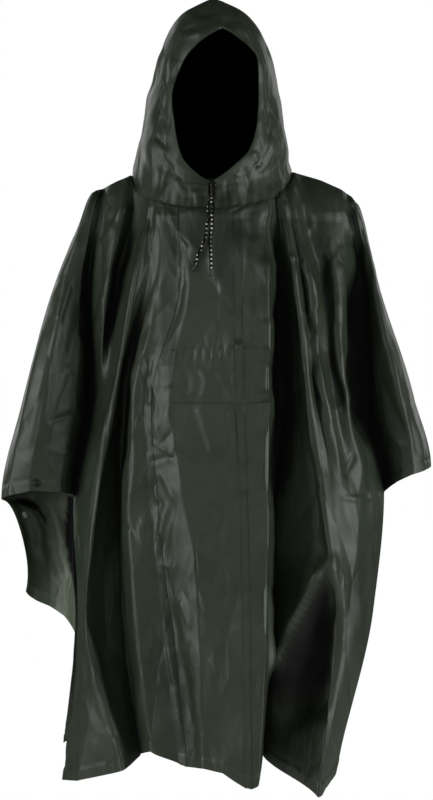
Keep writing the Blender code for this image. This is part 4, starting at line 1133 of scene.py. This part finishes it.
def front_shading():
    """How much painted shade each point of the front takes in its folds, from 0 to 1."""
    shade = fold_shade(front, -1, front_keep, reach=30)
    shade *= 0.4 + 0.6 * soft_step((downward - 100) / 120)
    for one, two, paler, start, run in (
        ("ridge_2", "ridge_3", 0.6, 260, 90), ("strip_back", "ridge_4", 0.5, 470, 70)
    ):
        between = (sideways > fold_across(one)) & (sideways < fold_across(two))
        shade *= 1 - paler * between * soft_step((downward - start) / run)
    x, z = as_seen(front)
    # Painted shade in the deep hollow, fading out towards the hem
    hollow = 0.9 * inside(HOLLOW_OUTLINE, x, z, soft=9) * soft_step((z - HOLLOW_FOOT_Z) / 110)
    shade = np.maximum(shade, hollow)
    for outline, depth in CHEST_SHADES:
        shade = np.maximum(shade, depth * inside(outline, x, z, soft=7))
    return shade


front_normals = grid_normals(front, 1, front_keep)
front += front_normals * front_lift()[:, :, None]
front_normals = grid_normals(front, 1, front_keep)
into_plane(front_normals, 1, (slice(0, cuff_row + 1), 0), (slice(0, cuff_row + 1), -1))
into_plane(front_normals, 1, (slice(cuff_row, None), front_at["side_l"]))
front_shade = front_shading()

seam_right = (front_at["seam_r_a"] + front_at["seam_r_b"]) // 2
seam_left = (front_at["seam_l_a"] + front_at["seam_l_b"]) // 2
WIDTHS = (
    ("front_width_right", 0, seam_right),
    ("front_width_middle", seam_right, seam_left),
    ("front_width_left", seam_left, len(front_across)),
)
pieces = {}
for name, low_column, high_column in WIDTHS:
    part = front_keep & (front_columns >= low_column) & (front_columns < high_column)
    pieces[name] = cloth_shell(
        name, front, front_normals, -CLOTH_THICK, 0.0, part, 1, front_uv,
        (front_nylon, inside_nylon), front_shade,
    )

# --- pocket, flap and felled seams ----------------------------------------------------
def sewn_on(name, lift, keep, material):
    """A piece sewn on the front: its grid, a lift off the cloth, and its outer normals."""
    grid = front + front_normals * lift[:, :, None]
    normals = grid_normals(grid, 1, front_keep)
    pieces[name] = cloth_shell(
        name, grid, normals, 0.0, PATCH_THICK, keep, 1, front_uv, (material,), front_shade
    )
    return grid, normals


def layer_under(top, foot, above, below, ease):
    """1 on the rows of the front between two places, where a layer lies under the seam."""
    return soft_step((downward - top + above) / 14) * soft_step((foot + below - downward) / ease)


cell_down = front_down[:-1, None]
pocket_keep = (cell_down >= POCKET_TOP - 0.1) & (cell_down < POCKET_FOOT - 0.1)
pocket_keep = pocket_keep & (front_columns >= front_at["pocket_r"])
pocket_keep = pocket_keep & (front_columns < front_at["strip_edge"])
flap_keep = pocket_keep & (cell_down < FLAP_EDGE - 0.1)
flap_share = np.clip((downward - POCKET_TOP) / (FLAP_EDGE - POCKET_TOP), 0, 1)
pocket_lift = 0.5 + 0.8 * np.clip(value_noise(sideways / 30, downward / 40, seed=101), 0, 1)
flap_lift = 2.2 + 1.0 * flap_share ** 3
flap_lift += 0.5 * flap_share * value_noise(sideways / 24, downward / 60, seed=103)
pocket_grid, pocket_normals = sewn_on("pocket_cloth", pocket_lift, pocket_keep, patch_nylon)
flap_grid, flap_normals = sewn_on("flap_cloth", flap_lift, flap_keep, patch_nylon)

over_pocket = layer_under(POCKET_TOP, POCKET_FOOT, above=16, below=16, ease=14)
over_flap = layer_under(POCKET_TOP, FLAP_EDGE, above=16, below=10, ease=12)
SEAMS = (
    ("felled_seam_right", "seam_r_a", "seam_r_b", 0.0),
    ("felled_seam_left", "seam_l_a", "seam_l_b", 1.0),
)
seam_grids = {}
for name, one, two, layered in SEAMS:
    lift = 0.3 + layered * (1.9 * over_pocket + 2.2 * over_flap)
    keep = (front_columns >= front_at[one]) & (front_columns < front_at[two]) & (cell_down > 4)
    seam_grids[name] = sewn_on(name, lift, keep, seam_nylon)

# --- back panel -----------------------------------------------------------------------
back, back_down, back_across, back_at = panel_grid(BACK_FOLDS, True, BACK_CELL)
back_cuff_row = row_at(back_down, CUFF_DOWN)
back_thigh_row = row_at(back_down, THIGH_DOWN)
wing = back_at["side_r"]
for row in range(back_cuff_row, back_thigh_row):
    share = (row - back_cuff_row) / (back_thigh_row - back_cuff_row)
    reach = 1 - np.arange(wing) / wing
    back[row, :wing, 0] += WING_PULL * reach * math.sin(math.pi * share ** 0.55)
back_rows = np.arange(len(back_down) - 1)[:, None]
back_columns = np.arange(len(back_across) - 1)[None, :]
back_keep = np.where(
    back_columns < wing, back_rows < back_thigh_row,
    (back_rows < back_cuff_row) | (back_columns < back_at["side_l"]),
)
back_uv = uv_of(back_across, back_down)
back_side, back_drop = back_uv[..., 0], back_uv[..., 1]


def back_lift():
    """How far each point of the back stands off its plain folds, in mm."""
    lift = crease_heights(back[..., 0], back[..., 2], BACK_CREASES)
    lift += crumple_heights(back[..., 0], back[..., 2], back_side, back_drop, BACK_CRUMPLES)
    lift += FINE_FACET * crumpled(back_side, back_drop * FINE_DRAWN, grain=28, seed=12)
    lift += BROAD_FACET * crumpled(back_side, back_drop * BROAD_DRAWN, grain=66, seed=14)
    lift += 1.8 * value_noise(back_side / 48, back_drop / 180, seed=22)
    left_side = back_across[back_at["side_l"]]
    to_edge = np.where(back_side < back_across[wing], THIGH_DOWN, DOWN_LEVELS[-1]) - back_drop
    to_edge = np.where(back_side > left_side, CUFF_DOWN - back_drop, to_edge)
    lift += stitched_hem(to_edge, back_side, HEM_DEPTH)
    lift *= soft_step(back_drop / TOP_EASE)
    lift += along_neck(back, back_drop, BACK_GATHER)
    lift *= soft_step(np.minimum(back_side, back_across[-1] - back_side) / EDGE_EASE)
    to_closed = np.where(back_drop > CUFF_DOWN, left_side - back_side, FAR)
    return lift * soft_step(to_closed / SIDE_EASE)


back_normals = grid_normals(back, -1, back_keep)
back += back_normals * back_lift()[:, :, None]
back_normals = grid_normals(back, -1, back_keep)
into_plane(back_normals, 1, (slice(0, back_cuff_row + 1), 0), (slice(0, back_cuff_row + 1), -1))
into_plane(back_normals, 1, (slice(back_cuff_row, None), back_at["side_l"]))
# Painted shade: in the back's folds outside, and in the wing's slit and corner inside
wing_shade = np.max([inside(outline, *as_seen(back), soft=2.5) for outline in WING_SHADES], axis=0)
pieces["back_cloth"] = cloth_shell(
    "back_cloth", back, back_normals, -CLOTH_THICK, 0.0, back_keep, -1, back_uv,
    (back_nylon, inside_nylon), fold_shade(back, 1, back_keep, reach=24), wing_shade,
)

# --- hood -----------------------------------------------------------------------------
CASING_SHARE = 0.115  # how far round from the face edge the drawcord tunnel reaches
HOOD_ROW_STEP = 0.075  # between grid rows, as a share of the gap between hood rows
HOOD_ROUND_STEP = 0.0085  # between grid columns, as a share of the way round
FOOT_FLARE = 8.0  # how far the foot of the hood spreads to meet the front
NOTCH_ROW = 1.0
HoodHalf = namedtuple("HoodHalf", "grid normals round_mm up_mm")
heights = even_steps([float(row) for row in range(len(HOOD_ROWS))], HOOD_ROW_STEP)
shares = even_steps([0.0, CASING_SHARE, 0.5, 1.0], HOOD_ROUND_STEP)
casing_column = row_at(shares, CASING_SHARE)


def hood_grid(side):
    """Points [row, column, xyz] of one half, from the face edge round to the middle seam."""
    fields = np.array([row[1:] for row in HOOD_ROWS], float)
    knots = np.arange(len(HOOD_ROWS), dtype=float)
    table = np.array([smooth(knots, fields[:, i], heights) for i in range(fields.shape[1])]).T
    grid = np.zeros((len(heights), len(shares), 3))
    for index, values in enumerate(table):
        row = HoodRow("between", *values)
        edge_x, edge_z, side_x, side_z = (
            getattr(row, side + part) for part in ("_edge_x", "_edge_z", "_side_x", "_side_z")
        )
        width = side_x - row.centre_x
        begin = math.radians(row.turn)
        shift = (edge_x - row.centre_x - width * math.sin(begin)) / math.cos(begin)
        angle = begin + (math.pi - begin) * shares
        along = np.cos(angle)
        ahead = np.clip(along, 0, None)
        behind = np.clip(-along, 0, None)
        grid[index, :, 0] = row.centre_x + width * np.sin(angle) + shift * ahead
        grid[index, :, 1] = -row.front * ahead + row.back * behind
        rise = (edge_z - side_z) * (ahead / math.cos(begin)) ** row.bend
        grid[index, :, 2] = side_z + rise + (row.back_z - side_z) * behind ** row.bend
    tucked = 1 - soft_step((heights - 0.02) / 0.16)[:, None]
    grid[:, :, 2] -= NECK_TUCK * tucked
    grid[:, :, 0] -= NECK_NARROW * (grid[:, :, 0] - NECK_X) * tucked
    grid[:, :, 1] *= 1 - NECK_NARROW * tucked
    return grid


def hood_lift(grid, round_mm, up_mm, side_creases, seed):
    """How far each point of one half stands off its plain form, in mm."""
    hood_uv = uv_of(round_mm, up_mm)
    turn_mm, rise_mm = hood_uv[..., 0], hood_uv[..., 1]
    x, y, z = grid[..., 0], grid[..., 1], grid[..., 2]
    lift = crease_heights(*as_seen(grid), HOOD_CREASES) * soft_step((30 - y) / 40)
    lift += crease_heights(y, z, side_creases)
    lift += 1.2 * crumpled(turn_mm, rise_mm * 0.7, grain=22, seed=seed)
    lift += 3.0 * crumpled(turn_mm, rise_mm * 0.5, grain=48, seed=seed + 5)
    lift += 1.3 * value_noise(turn_mm / 40, rise_mm / 70, seed=seed + 1)
    off = turn_mm - round_mm[casing_column]
    lift += puckers(off, rise_mm, reach=12, height=1.3, pitch=17, seed=seed + 6)
    lift *= soft_step(rise_mm / 24) * soft_step((up_mm[-1] - rise_mm) / 8)
    gather = np.where(
        y < 0, neck_gather(x, rise_mm, FRONT_GATHER), neck_gather(x, rise_mm, BACK_GATHER)
    )
    flare = FOOT_FLARE * np.exp(-rise_mm / 20) * soft_step(-y / 90)
    lift += gather * soft_step(np.abs(y) / 40) + flare
    return lift * soft_step((round_mm[-1] - turn_mm) / 9)


def hood_half(side, outward, side_creases, seed):
    """One half of the hood, sewn to the other along its top and back."""
    grid = hood_grid(side)
    keep = np.ones((len(heights) - 1, len(shares) - 1), bool)
    spans = np.linalg.norm(np.diff(grid, axis=1), axis=2).mean(axis=0)
    rises = np.linalg.norm(np.diff(grid, axis=0), axis=2).mean(axis=1)
    round_mm = np.concatenate([[0.0], np.cumsum(spans)])
    up_mm = np.concatenate([[0.0], np.cumsum(rises)])
    lift = hood_lift(grid, round_mm, up_mm, side_creases, seed)
    grid += grid_normals(grid, outward, keep) * lift[:, :, None]
    normals = grid_normals(grid, outward, keep)
    into_plane(normals, 0, (slice(None), -1), (-1, slice(None)))
    name = "hood_cloth_" + side
    pieces[name] = cloth_shell(
        name, grid, normals, -CLOTH_THICK, 0.0, keep, outward, uv_of(round_mm, up_mm),
        (hood_nylon, hood_inside),
    )
    return HoodHalf(grid, normals, round_mm, up_mm)


right_half = hood_half("right", 1, HOOD_SIDE_RIGHT, seed=200)
left_half = hood_half("left", -1, HOOD_SIDE_LEFT, seed=300)

# The drawcord tunnel runs from the notch up one side of the face and down the other
notch = row_at(heights, NOTCH_ROW)
strip = slice(0, casing_column + 1)
casing = np.concatenate([right_half.grid[notch:, strip], left_half.grid[notch:-1, strip][::-1]])
top_row = len(heights) - 1 - notch
casing[top_row] = (right_half.grid[-1, strip] + left_half.grid[-1, strip]) / 2
casing_keep = np.ones((casing.shape[0] - 1, casing.shape[1] - 1), bool)
casing_normals = grid_normals(casing, 1, casing_keep)
down_left = 2 * right_half.up_mm[-1] - left_half.up_mm[notch:-1][::-1]
casing_uv = uv_of(right_half.round_mm[strip], np.concatenate([right_half.up_mm[notch:], down_left]))
bulge = 0.6 + 1.6 * np.sin(np.linspace(0, math.pi, casing.shape[1])) ** 0.7
casing += casing_normals * bulge[None, :, None]
casing_normals = grid_normals(casing, 1, casing_keep)
pieces["casing_cloth"] = cloth_shell(
    "casing_cloth", casing, casing_normals, 0.0, PATCH_THICK, casing_keep, 1, casing_uv,
    (hood_nylon,),
)

# --- drawcord -------------------------------------------------------------------------
def foremost(x, z):
    """Foremost y of the finished cloth near x and z."""
    best = 0.0
    for grid in (front, right_half.grid, left_half.grid, casing):
        near = np.abs(grid[..., 0] - x) + np.abs(grid[..., 2] - z) < 13
        if near.any():
            best = min(best, float(grid[..., 1][near].min()))
    return best


def cord_points(name):
    """Centre line of one free end, lying on the finished cloth, in mm."""
    path = np.array(CORD_PATHS[name], float)
    behind = np.array([foremost(x, z) for x, z in path])
    padded = np.concatenate([behind[:1], behind, behind[-1:]])
    eased = (padded[:-2] + 2 * padded[1:-1] + padded[2:]) / 4
    y = np.minimum(behind, eased) - CORD_DIAMETER / MM / 2 - CORD_CLEAR - CORD_STEP_OUT[name]
    return np.stack([path[:, 0], y, path[:, 1]], axis=1)


def smooth_route(points, count):
    """That many points on a smooth line through the points."""
    knots = np.concatenate([[0.0], np.cumsum(np.linalg.norm(np.diff(points, axis=0), axis=1))])
    at = np.linspace(0, knots[-1], count)
    return np.stack([smooth(knots, points[:, i], at) for i in range(3)], axis=1)


def free_cord(name, material):
    """One free end as a braid with closed ends, and its centre line in mm."""
    route = smooth_route(cord_points(name), 40)
    curve = bpy.data.curves.new(name + "_braid", "CURVE")
    curve.dimensions = "3D"
    curve.bevel_depth = CORD_DIAMETER / 2
    curve.bevel_resolution = 4
    curve.use_fill_caps = True
    spline = curve.splines.new("POLY")
    spline.points.add(len(route) - 1)
    for point, at in zip(spline.points, route):
        point.co = (*(at * MM), 1.0)
    curve.materials.append(material)
    return in_collection(name + "_braid", curve), route


def turned(name, place, facing, profile, material, turns=24):
    """A round piece from (radius, height) pairs in mm, standing on place along facing."""
    ring = np.linspace(0, 2 * math.pi, turns, endpoint=False)
    points = [(0.0, 0.0, profile[0][1])]
    for radius, height in profile:
        points += [(radius * math.cos(a), radius * math.sin(a), height) for a in ring]
    points.append((0.0, 0.0, profile[-1][1]))
    faces = [(0, 1 + (i + 1) % turns, 1 + i) for i in range(turns)]
    for level in range(len(profile) - 1):
        start = 1 + level * turns
        for i in range(turns):
            j = (i + 1) % turns
            faces.append((start + i, start + j, start + turns + j, start + turns + i))
    start = 1 + (len(profile) - 1) * turns
    faces += [(len(points) - 1, start + i, start + (i + 1) % turns) for i in range(turns)]
    spin = Vector(facing).to_track_quat("Z", "Y")
    placed = [(spin @ Vector(point) + Vector(place)) * MM for point in points]
    mesh = bpy.data.meshes.new(name)
    mesh.from_pydata([tuple(point) for point in placed], [], faces)
    mesh.shade_smooth()
    mesh.materials.append(material)
    return in_collection(name, mesh)


tip_finish = worn_finish("cord_tip_plastic", (0.008, 0.008, 0.008), (0.03, 0.03, 0.03), 0.35, 0.0)
cap_enamel = worn_finish("snap_cap_enamel", (0.010, 0.012, 0.010), (0.10, 0.11, 0.10), 0.28, 0.5)
stud_steel = worn_finish("snap_stud_steel", (0.50, 0.51, 0.50), (0.72, 0.72, 0.70), 0.26, 1.0)

# Profiles of the round pieces, as radius and height in mm
TIP_PROFILE = (
    (1.9, 0.0), (2.5, 0.5), (2.75, 2.0), (2.6, 6.0), (2.7, 10.0), (2.3, 11.6), (1.6, 12.2),
)
CAP_PROFILE = (
    (5.2, 0.0), (6.2, 0.3), (6.5, 0.9), (6.1, 1.5), (5.0, 1.9), (3.0, 2.2), (0.8, 2.3),
)
STUD_PROFILE = (
    (5.0, 0.0), (5.3, 0.3), (5.3, 0.8), (4.2, 1.0), (3.4, 0.9), (2.4, 1.0), (2.1, 1.3),
    (2.3, 2.0), (1.7, 2.5), (0.6, 2.6),
)

cords = {}
for side, lean in (("right", 0.9), ("left", -0.9)):
    braid = cord_weave("drawcord_braid_" + side, lean)
    cords["drawcord_" + side] = free_cord("drawcord_" + side, braid)
for side in ("right", "left"):
    piece, route = cords["drawcord_" + side]
    heading = route[-1] - route[-2]
    heading /= np.linalg.norm(heading)
    pieces["moulded_tip_" + side] = turned(
        "moulded_tip_" + side, route[-1] - heading * 0.3, heading, TIP_PROFILE, tip_finish
    )

# --- snaps ----------------------------------------------------------------------------
SNAP_GAP = 0.1  # between a snap part and the cloth


def snap_on(name, node, grid, normals, sign, profile, material):
    """A snap part on the cloth under its CAD disc, facing the way the cloth does."""
    low, high = (np.array(corner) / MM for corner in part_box(node))
    middle = (low + high) / 2
    gaps = np.linalg.norm(grid - middle, axis=2)
    row, column = np.unravel_index(int(gaps.argmin()), gaps.shape)
    facing = normals[row, column] * sign
    start = grid[row, column] + facing * (SNAP_GAP if sign > 0 else CLOTH_THICK + SNAP_GAP)
    pieces[name] = turned(name, start, facing, profile, material)


snap_on("enamel_snap_cuff", "cuff_snap_cap", front, front_normals, 1, CAP_PROFILE, cap_enamel)
snap_on("enamel_snap_side", "side_snap_cap", front, front_normals, 1, CAP_PROFILE, cap_enamel)
snap_on("steel_snap_stud", "cuff_snap_stud", back, back_normals, -1, STUD_PROFILE, stud_steel)

# --- stitches and bartacks ------------------------------------------------------------
def stitch_tree(name, material):
    """Nodes that sew a row of rounded stitches along each edge chain of a guide mesh."""
    tree = bpy.data.node_groups.new(name, "GeometryNodeTree")
    face = tree.interface
    face.new_socket("Guide", in_out="INPUT", socket_type="NodeSocketGeometry")
    for label, size in (("Pitch", 0.004), ("Length", 0.0028), ("Thickness", 0.0005)):
        socket = face.new_socket(label, in_out="INPUT", socket_type="NodeSocketFloat")
        socket.default_value = size
    face.new_socket("Stitches", in_out="OUTPUT", socket_type="NodeSocketGeometry")
    new = tree.nodes.new
    link = tree.links.new
    start = new("NodeGroupInput")
    end = new("NodeGroupOutput")
    lines = new("GeometryNodeMeshToCurve")
    spaced = new("GeometryNodeResampleCurve")
    spaced.mode = "LENGTH"
    link(start.outputs["Guide"], lines.inputs["Mesh"])
    link(lines.outputs["Curve"], spaced.inputs["Curve"])
    link(start.outputs["Pitch"], spaced.inputs["Length"])
    bead = new("GeometryNodeMeshIcoSphere")
    bead.inputs["Radius"].default_value = 0.5
    bead.inputs["Subdivisions"].default_value = 1
    size = new("ShaderNodeCombineXYZ")
    link(start.outputs["Length"], size.inputs["X"])
    link(start.outputs["Thickness"], size.inputs["Y"])
    link(start.outputs["Thickness"], size.inputs["Z"])
    along = new("GeometryNodeInputTangent")
    lay = new("FunctionNodeAlignEulerToVector")
    lay.axis = "X"
    link(along.outputs["Tangent"], lay.inputs["Vector"])
    copies = new("GeometryNodeInstanceOnPoints")
    link(spaced.outputs["Curve"], copies.inputs["Points"])
    link(bead.outputs["Mesh"], copies.inputs["Instance"])
    link(lay.outputs["Rotation"], copies.inputs["Rotation"])
    link(size.outputs["Vector"], copies.inputs["Scale"])
    real = new("GeometryNodeRealizeInstances")
    dress = new("GeometryNodeSetMaterial")
    dress.inputs["Material"].default_value = material
    smooth_faces = new("GeometryNodeSetShadeSmooth")
    link(copies.outputs["Instances"], real.inputs["Geometry"])
    link(real.outputs["Geometry"], smooth_faces.inputs["Geometry"])
    link(smooth_faces.outputs["Geometry"], dress.inputs["Geometry"])
    link(dress.outputs["Geometry"], end.inputs["Stitches"])
    return tree


sewing = stitch_tree("sewn_stitches", thread)


def set_input(modifier, label, value):
    """Sets a named input of a node modifier."""
    for item in modifier.node_group.interface.items_tree:
        if item.item_type == "SOCKET" and item.in_out == "INPUT" and item.name == label:
            modifier[item.identifier] = value


def sewn(name, lines, pitch=4.0, length=2.8, thickness=0.55):
    """One mesh of stitches along the lines, each a list of points in mm."""
    points = []
    edges = []
    for line in lines:
        edges += [(len(points) + i, len(points) + i + 1) for i in range(len(line) - 1)]
        points += [tuple(point) for point in np.asarray(line) * MM]
    guide = bpy.data.meshes.new(name + "_guide")
    guide.from_pydata(points, edges, [])
    holder = in_collection(name + "_guide", guide)
    modifier = holder.modifiers.new("Sewing", "NODES")
    modifier.node_group = sewing
    set_input(modifier, "Pitch", pitch * MM)
    set_input(modifier, "Length", length * MM)
    set_input(modifier, "Thickness", thickness * MM)
    graph = bpy.context.evaluated_depsgraph_get()
    mesh = bpy.data.meshes.new_from_object(holder.evaluated_get(graph))
    bpy.data.objects.remove(holder, do_unlink=True)
    mesh.name = name
    pieces[name] = in_collection(name, mesh)


def line_on(grid, normals, rows, columns, lift=THREAD_LIFT):
    """Points along one row or one column of a grid, lifted off the cloth."""
    return grid[rows, columns] + normals[rows, columns] * lift


on_patch = PATCH_THICK + THREAD_LIFT
front_lines = []
for name, one, two, _ in SEAMS:
    ribbon, ribbon_normals = seam_grids[name]
    low, high = front_at[one], front_at[two]
    for share in (0.16, 0.84):
        at = low + (high - low) * share
        left = int(at)
        mix = at - left
        line = ribbon[4:, left] * (1 - mix) + ribbon[4:, left + 1] * mix
        facing = ribbon_normals[4:, left] * (1 - mix) + ribbon_normals[4:, left + 1] * mix
        front_lines.append(line + facing * on_patch)
body_columns = slice(front_at["side_r"] + 2, front_at["side_l"] - 1)
cuff_hem = row_at(front_down, CUFF_DOWN - HEM_DEPTH)
for rows, columns in (
    (row_at(front_down, DOWN_LEVELS[-1] - HEM_DEPTH), body_columns),
    (cuff_hem, slice(1, front_at["side_r"])),
    (cuff_hem, slice(front_at["side_l"], -1)),
    (2, slice(front_at["ridge_1"], front_at["ridge_6"])),
    (slice(cuff_row + 1, None), front_at["side_r"] + 3),
    (slice(2, cuff_row), 2),
    (slice(2, cuff_row), len(front_across) - 3),
):
    front_lines.append(line_on(front, front_normals, rows, columns))
sewn("front_stitches", front_lines)

pocket_top_row = row_at(front_down, POCKET_TOP)
pocket_foot_row = row_at(front_down, POCKET_FOOT)
flap_row = row_at(front_down, FLAP_EDGE)
pocket_side = front_at["pocket_r"] + 1
pocket_span = slice(pocket_side, front_at["strip_edge"])
pocket_lines = [
    line_on(pocket_grid, pocket_normals, rows, columns, on_patch) for rows, columns in (
        (pocket_foot_row - 1, pocket_span),
        (pocket_foot_row - 3, pocket_span),
        (slice(flap_row, pocket_foot_row), pocket_side),
    )
]
pocket_lines += [
    line_on(flap_grid, flap_normals, rows, columns, on_patch) for rows, columns in (
        (pocket_top_row + 1, pocket_span),
        (pocket_top_row + 3, pocket_span),
        (flap_row - 3, pocket_span),
        (slice(pocket_top_row, flap_row), pocket_side),
    )
]
sewn("pocket_stitches", pocket_lines)

back_lines = [
    line_on(back, back_normals, rows, columns) for rows, columns in (
        (row_at(back_down, DOWN_LEVELS[-1] - HEM_DEPTH), slice(wing + 1, back_at["side_l"] - 1)),
        (row_at(back_down, THIGH_DOWN - HEM_DEPTH), slice(2, wing)),
        (slice(back_cuff_row, back_thigh_row), 4),
        (row_at(back_down, CUFF_DOWN - HEM_DEPTH), slice(back_at["side_l"], -1)),
        (2, slice(back_at["ridge_1"], back_at["ridge_5"])),
    )
]
sewn("back_stitches", back_lines)

hood_lines = [
    line_on(half.grid, half.normals, rows, columns)
    for half in (right_half, left_half)
    for rows, columns in (
        (slice(2, -2), len(shares) - 4),
        (len(heights) - 4, slice(casing_column + 2, -2)),
        (3, slice(casing_column, -2)),
    )
]
hood_lines.append(line_on(casing, casing_normals, slice(3, -3), casing.shape[1] - 2, on_patch))
sewn("hood_stitches", hood_lines)


THREAD_STEP = 0.55  # between the zigzags of a bartack
BARTACK_LIFT = 0.9


def bartack(grid, normals, row, column, wide, tall):
    """A short dense bar of thread: zigzag points on the cloth round one grid point."""
    middle = grid[row, column] + normals[row, column] * BARTACK_LIFT
    right = grid[row, column + 2] - grid[row, column - 2]
    right /= np.linalg.norm(right)
    up = np.cross(right, normals[row, column])
    count = int(wide / THREAD_STEP)
    return [
        middle + right * (wide * (i / count - 0.5)) + up * (tall / 2 if i % 2 else -tall / 2)
        for i in range(count + 1)
    ]


def nearest_to(grid, x, z):
    """Row and column of the grid point that lines up with x and z."""
    seen_x, seen_z = as_seen(grid)
    row, column = np.unravel_index(int((np.hypot(seen_x - x, seen_z - z)).argmin()), seen_x.shape)
    return int(row), int(column)


# x and z from the front, width and height of each bar
BARTACKS = (
    (5, -26, 27, 3.2), (-76, -438, 9, 3.0), (-72, -264, 8, 3.0),
    (82, -436, 8, 3.0), (76, -266, 8, 3.0),
)
bars = [
    bartack(front, front_normals, *nearest_to(front, x, z), wide, tall)
    for x, z, wide, tall in BARTACKS
]
sewn("bartacks", bars, pitch=1.4, length=2.6, thickness=0.7)

# --- who stands for what --------------------------------------------------------------
REPLACED = {
    "front_width_right": "front_panel", "front_width_middle": "front_panel",
    "front_width_left": "front_panel", "back_cloth": "back_panel",
    "hood_cloth_right": "hood_right", "hood_cloth_left": "hood_left",
    "casing_cloth": "face_casing", "pocket_cloth": "pocket", "flap_cloth": "pocket_flap",
    "felled_seam_right": "front_seam_right", "felled_seam_left": "front_seam_left",
    "moulded_tip_right": "cord_tip_right", "moulded_tip_left": "cord_tip_left",
    "enamel_snap_cuff": "cuff_snap_cap", "enamel_snap_side": "side_snap_cap",
    "steel_snap_stud": "cuff_snap_stud",
}
for name, piece in pieces.items():
    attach(piece, "root")
    if name in REPLACED:
        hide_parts(REPLACED[name])
for name, slot in (("drawcord_right", "cord_polyester"), ("drawcord_left", "cord_polyester_left")):
    piece, route = cords[name]
    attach(piece, "root")
    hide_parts(name)

# Flat cut of what shows: width, length and area in metres
Cut = namedtuple("Cut", "piece width length area held")

# --- studio ---------------------------------------------------------------------------
FLOOR_Z = -1.42
FLOOR_RADIUS = 2.6
FLOOR_Y = -0.2
FLOOR_CORNERS = 64
LIT_POINT = (0.0, 0.0, -0.35)
FILL_LIGHT = 0.03
SCREEN_LIGHT = 1.0  # the white that only the camera sees
WHITE = (1.0, 1.0, 1.0)

floor_mesh = bpy.data.meshes.new("studio_floor")
rim = [
    (FLOOR_RADIUS * math.cos(a), FLOOR_RADIUS * math.sin(a) + FLOOR_Y, FLOOR_Z)
    for a in np.linspace(0, 2 * math.pi, FLOOR_CORNERS, endpoint=False)
]
floor_mesh.from_pydata(rim, [], [tuple(range(FLOOR_CORNERS))])
floor = bpy.data.objects.new("studio_floor", floor_mesh)
bpy.context.scene.collection.objects.link(floor)
paint = Nodes("pale_floor")
tone = paint.ranged(paint.noise(paint.place, scale=3.0, detail=2.0), 0.3, 0.7)
paint.look("Base Color", paint.mix(tone, (0.78, 0.78, 0.78), (0.82, 0.82, 0.82)))
paint.shader.inputs["Roughness"].default_value = 0.8
floor_mesh.materials.append(paint.material)

# Place and size in metres, power in watts
Softbox = namedtuple("Softbox", "name x y z width height watts")
SOFTBOXES = (
    Softbox("front_key", -0.3, -4.4, 0.5, 1.8, 1.8, 12),
    Softbox("side_left", -3.1, -1.7, 0.1, 2.4, 2.6, 66),
    Softbox("side_right", 3.1, -1.7, -0.1, 2.4, 2.6, 77),
    Softbox("back_left", -2.4, 3.6, 0.8, 2.2, 2.4, 22),
    Softbox("back_right", 2.4, 3.6, 0.8, 2.2, 2.4, 19),
)
for box in SOFTBOXES:
    light = bpy.data.lights.new(box.name, "AREA")
    light.shape = "RECTANGLE"
    light.size = box.width
    light.size_y = box.height
    light.energy = box.watts
    lamp = bpy.data.objects.new(box.name, light)
    lamp.location = (box.x, box.y, box.z)
    aim = Vector(LIT_POINT) - lamp.location
    lamp.rotation_euler = aim.to_track_quat("-Z", "Y").to_euler()
    bpy.context.scene.collection.objects.link(lamp)

world = bpy.data.worlds.new("studio_white")
world.use_nodes = True
bpy.context.scene.world = world
sky = world.node_tree
fill = sky.nodes["Background"]
screen = sky.nodes.new("ShaderNodeBackground")
ray = sky.nodes.new("ShaderNodeLightPath")
either = sky.nodes.new("ShaderNodeMixShader")
sky.links.new(ray.outputs["Is Camera Ray"], either.inputs["Fac"])
for number, background, strength in ((1, fill, FILL_LIGHT), (2, screen, SCREEN_LIGHT)):
    background.inputs["Color"].default_value = (*WHITE, 1.0)
    background.inputs["Strength"].default_value = strength
    sky.links.new(background.outputs["Background"], either.inputs[number])
sky.links.new(either.outputs["Shader"], sky.nodes["World Output"].inputs["Surface"])
bpy.context.scene.view_settings.view_transform = "Standard"
bpy.context.scene.view_settings.look = "None"
